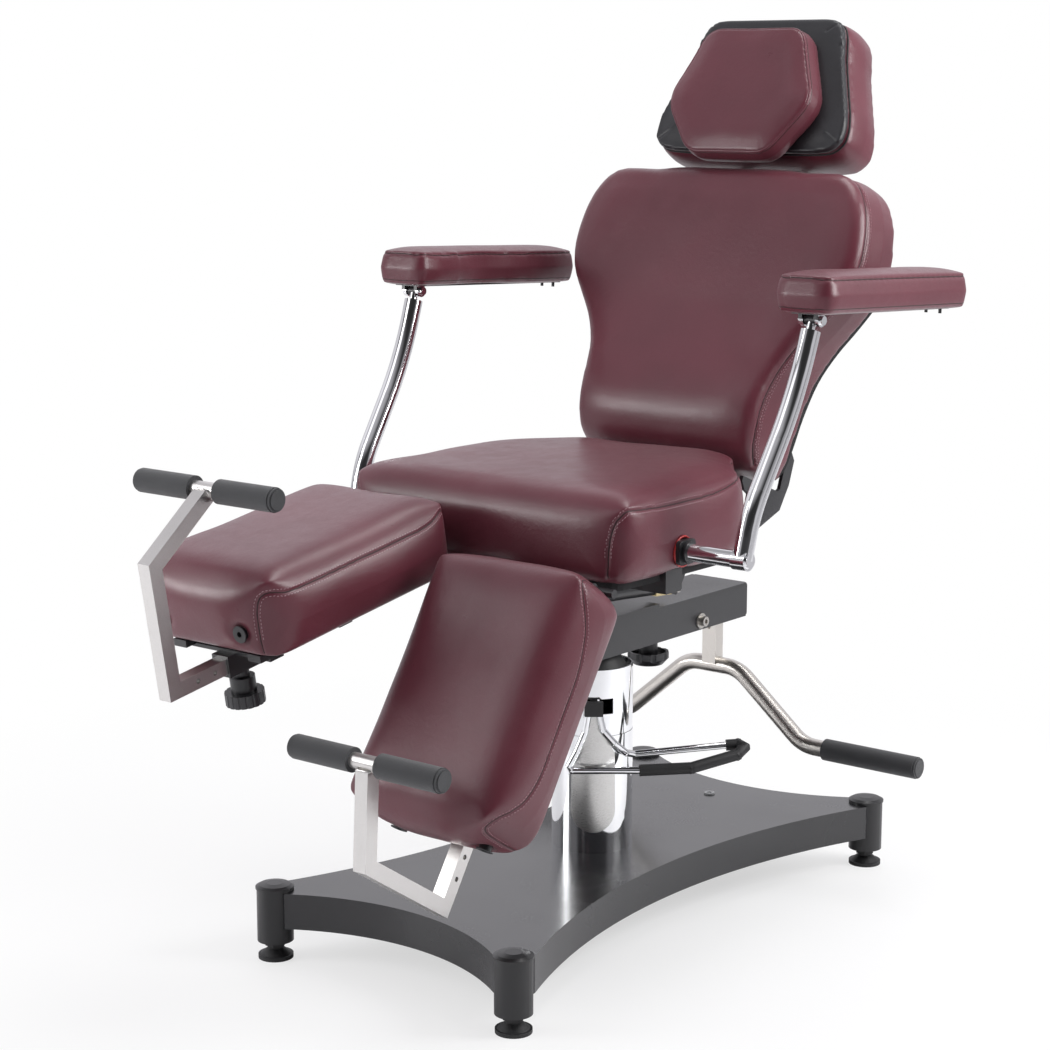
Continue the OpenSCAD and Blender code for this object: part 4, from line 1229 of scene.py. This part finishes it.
# ---------------------------------------------------------------- small details
def build_washer(side, tag):
    """Red ring round the X axis at the side of the seat."""
    centre, radius, steps = Vector((side * 0.2635, -0.124, 0.622)), 0.0215, 48
    axis = Vector((1, 0, 0))
    first = axis.orthogonal().normalized()
    second = axis.cross(first)
    line = [np.array(centre + (first * math.cos(t) + second * math.sin(t)) * radius)
            for t in np.linspace(0, 2 * math.pi, steps, endpoint=False)]
    attach(tube("arm_washer_" + tag, line, 0.0016, "red_washer", closed=True, sides=10),
           "seat")


def build_weld(side, tag):
    """Rippled weld bead, a rounded square, where the foot bar meets its cross tube."""
    place, steps, half = LEG[side], 64, 0.0112
    lean = math.radians(30)
    centre = place @ Vector((0, -0.3605, 0.2112))
    turn = place.to_3x3()
    axis = (turn @ Vector((0, math.cos(lean), math.sin(lean)))).normalized()
    first = turn @ Vector((1, 0, 0))
    second = axis.cross(first)
    line = []
    for k in range(steps):
        t = 2 * math.pi * k / steps
        x, y = math.cos(t), math.sin(t)
        # Out to the square's side, but cut short at its corners
        stretch = min(1.0 / max(abs(x), abs(y)), 1.22)
        ripple = 0.00035 * math.sin(t * 21)
        line.append(np.array(centre + first * (x * stretch * half)
                             + second * (y * stretch * half) + axis * (0.0012 + ripple)))
    attach(tube("foot_weld_" + tag, line, 0.0017, "stainless_square", closed=True, sides=8),
           "foot_bar_" + tag)


# ---------------------------------------------------------------- stage
def build_floor():
    half = 14.0
    floor_pale("floor_pale")
    corners = [(-half, -half, 0.0), (half, -half, 0.0), (half, half, 0.0), (-half, half, 0.0)]
    make_object("floor", corners, [(0, 1, 2, 3)], "floor_pale", smooth=False)


# Level directions towards the camera and square to that
TOWARD_CAMERA = (0.628, -0.778, 0)
ASIDE = (0.778, 0.628, 0)
# Grey ramps, (position, brightness). WALL runs from behind the chair (0) to behind the
# camera (1); the others run from the horizon (0) to straight up (1).
WALL = [(0.0, 1.0), (0.30, 0.75), (0.52, 0.35), (0.66, 1.25), (0.82, 1.3), (0.90, 0.16),
        (1.0, 0.10)]
REAR_HEIGHT = [(0.0, 0.60), (0.12, 0.85), (0.30, 1.10), (0.45, 1.40), (0.66, 1.10),
               (0.82, 0.0), (1.0, 0.0)]
FRONT_HEIGHT = [(0.0, 0.62), (0.12, 0.62), (0.30, 0.34), (0.50, 0.36), (0.60, 1.20),
                (0.72, 1.15), (0.84, 0.0), (1.0, 0.0)]
CEILING = 0.55
CEILING_HEIGHT = [(0.0, 0.0), (0.55, 0.0), (0.78, CEILING * 0.8), (1.0, CEILING)]
# Share of FRONT_HEIGHT against REAR_HEIGHT, placed as in WALL
FRONT_SHARE = [(0.0, 0.0), (0.38, 0.0), (0.56, 1.0), (1.0, 1.0)]


def grey_ramp(nodes, factor, stops):
    node = nodes.add("ShaderNodeValToRGB", Fac=factor)
    ramp = node.color_ramp
    ramp.interpolation = "EASE"
    while len(ramp.elements) < len(stops):
        ramp.elements.new(0.5)
    for element, (position, value) in zip(ramp.elements, stops):
        element.position = position
        element.color = (value, value, value, 1)
    return node.outputs[0]


def build_world():
    """Studio seen only in reflections and light; the camera itself sees plain white."""
    world = bpy.data.worlds.new("studio")
    SCENE.world = world
    world.use_nodes = True
    sky = Nodes(world.node_tree)
    place = sky.add("ShaderNodeTexCoord").outputs["Generated"]
    direction = sky.vector("NORMALIZE", place)
    flat = sky.vector("NORMALIZE", sky.vector("MULTIPLY", direction, (1, 1, 0)))
    toward = sky.vector("DOT_PRODUCT", flat, TOWARD_CAMERA)
    aside = sky.vector("DOT_PRODUCT", flat, ASIDE)
    up = sky.add("ShaderNodeSeparateXYZ", Vector=direction).outputs[2]
    # From -1..1 to 0..1
    round_about = sky.math("MULTIPLY_ADD", toward, 0.5, 0.5)
    around = grey_ramp(sky, round_about, WALL)
    # Slightly darker towards ASIDE
    gain = sky.math("MULTIPLY_ADD", aside, -0.10, 0.95)
    around = sky.math("MULTIPLY", around, gain)
    rear = grey_ramp(sky, up, REAR_HEIGHT)
    front = grey_ramp(sky, up, FRONT_HEIGHT)
    front_share = grey_ramp(sky, round_about, FRONT_SHARE)
    difference = sky.math("SUBTRACT", front, rear)
    walls = sky.math("MULTIPLY_ADD", front_share, difference, rear)
    ceiling = grey_ramp(sky, up, CEILING_HEIGHT)
    light = sky.math("MULTIPLY_ADD", around, walls, ceiling)
    studio = sky.tree.nodes["Background"]
    tint = (0.99, 0.975, 1.025)
    sky.fill(studio, Color=sky.vector("MULTIPLY", light, tint), Strength=0.85)
    white = sky.add("ShaderNodeBackground", Color=(1, 1, 1, 1), Strength=1.0)
    path = sky.add("ShaderNodeLightPath")
    mixed = sky.blend(path.outputs["Is Camera Ray"], studio.outputs[0], white.outputs[0])
    sky.put(sky.tree.nodes["World Output"], "Surface", mixed)


def area_light(name, place, target, size, energy):
    """Rectangular light: size is width and height in metres, energy is in watts."""
    data = bpy.data.lights.new(name, "AREA")
    data.energy = energy
    data.shape = "RECTANGLE"
    data.size, data.size_y = size
    light = bpy.data.objects.new(name, data)
    SCENE.collection.objects.link(light)
    light.location = place
    aim = Vector(target) - Vector(place)
    light.rotation_euler = aim.to_track_quat("-Z", "Y").to_euler()


def build_lights():
    area_light("key", place=(-2.35, -2.65, 1.2), target=(0, -0.1, 0.75), size=(1.1, 0.9),
               energy=32)
    area_light("leg_fill", place=(-1.12, -1.66, 1.42), target=(0.1, -0.4, 0.4),
               size=(0.7, 1.1), energy=6.5)
    area_light("top", place=(0.4, 0.6, 3.4), target=(0, 0, 0.5), size=(1.8, 1.2), energy=36)
    area_light("side", place=(1.9, 0.9, 1.75), target=(0.2, 0.2, 1.0), size=(0.9, 1.2),
               energy=38)


def build_camera():
    data = bpy.data.cameras.new("camera")
    camera = bpy.data.objects.new("camera", data)
    SCENE.collection.objects.link(camera)
    camera.location = (2.186, -2.864, 1.285)
    # Looks down by 10.6 degrees
    camera.rotation_euler = (math.radians(90 - 10.6), 0, math.radians(38.9))
    data.sensor_width = 36.0
    data.lens = 82.2857143
    data.clip_end = 60
    SCENE.camera = camera
    SCENE.view_settings.view_transform = "Standard"


# ---------------------------------------------------------------- build
make_materials()
assign_materials()
paint_hinges()
bevel_nodes()
build_seat()
for side, tag in SIDES:
    build_leg(side, tag)
build_back()
build_head()
build_pillow()
for side, tag in SIDES:
    build_pad(side, tag)
for side, tag in SIDES:
    build_washer(side, tag)
    build_weld(side, tag)
build_floor()
build_world()
build_lights()
build_camera()
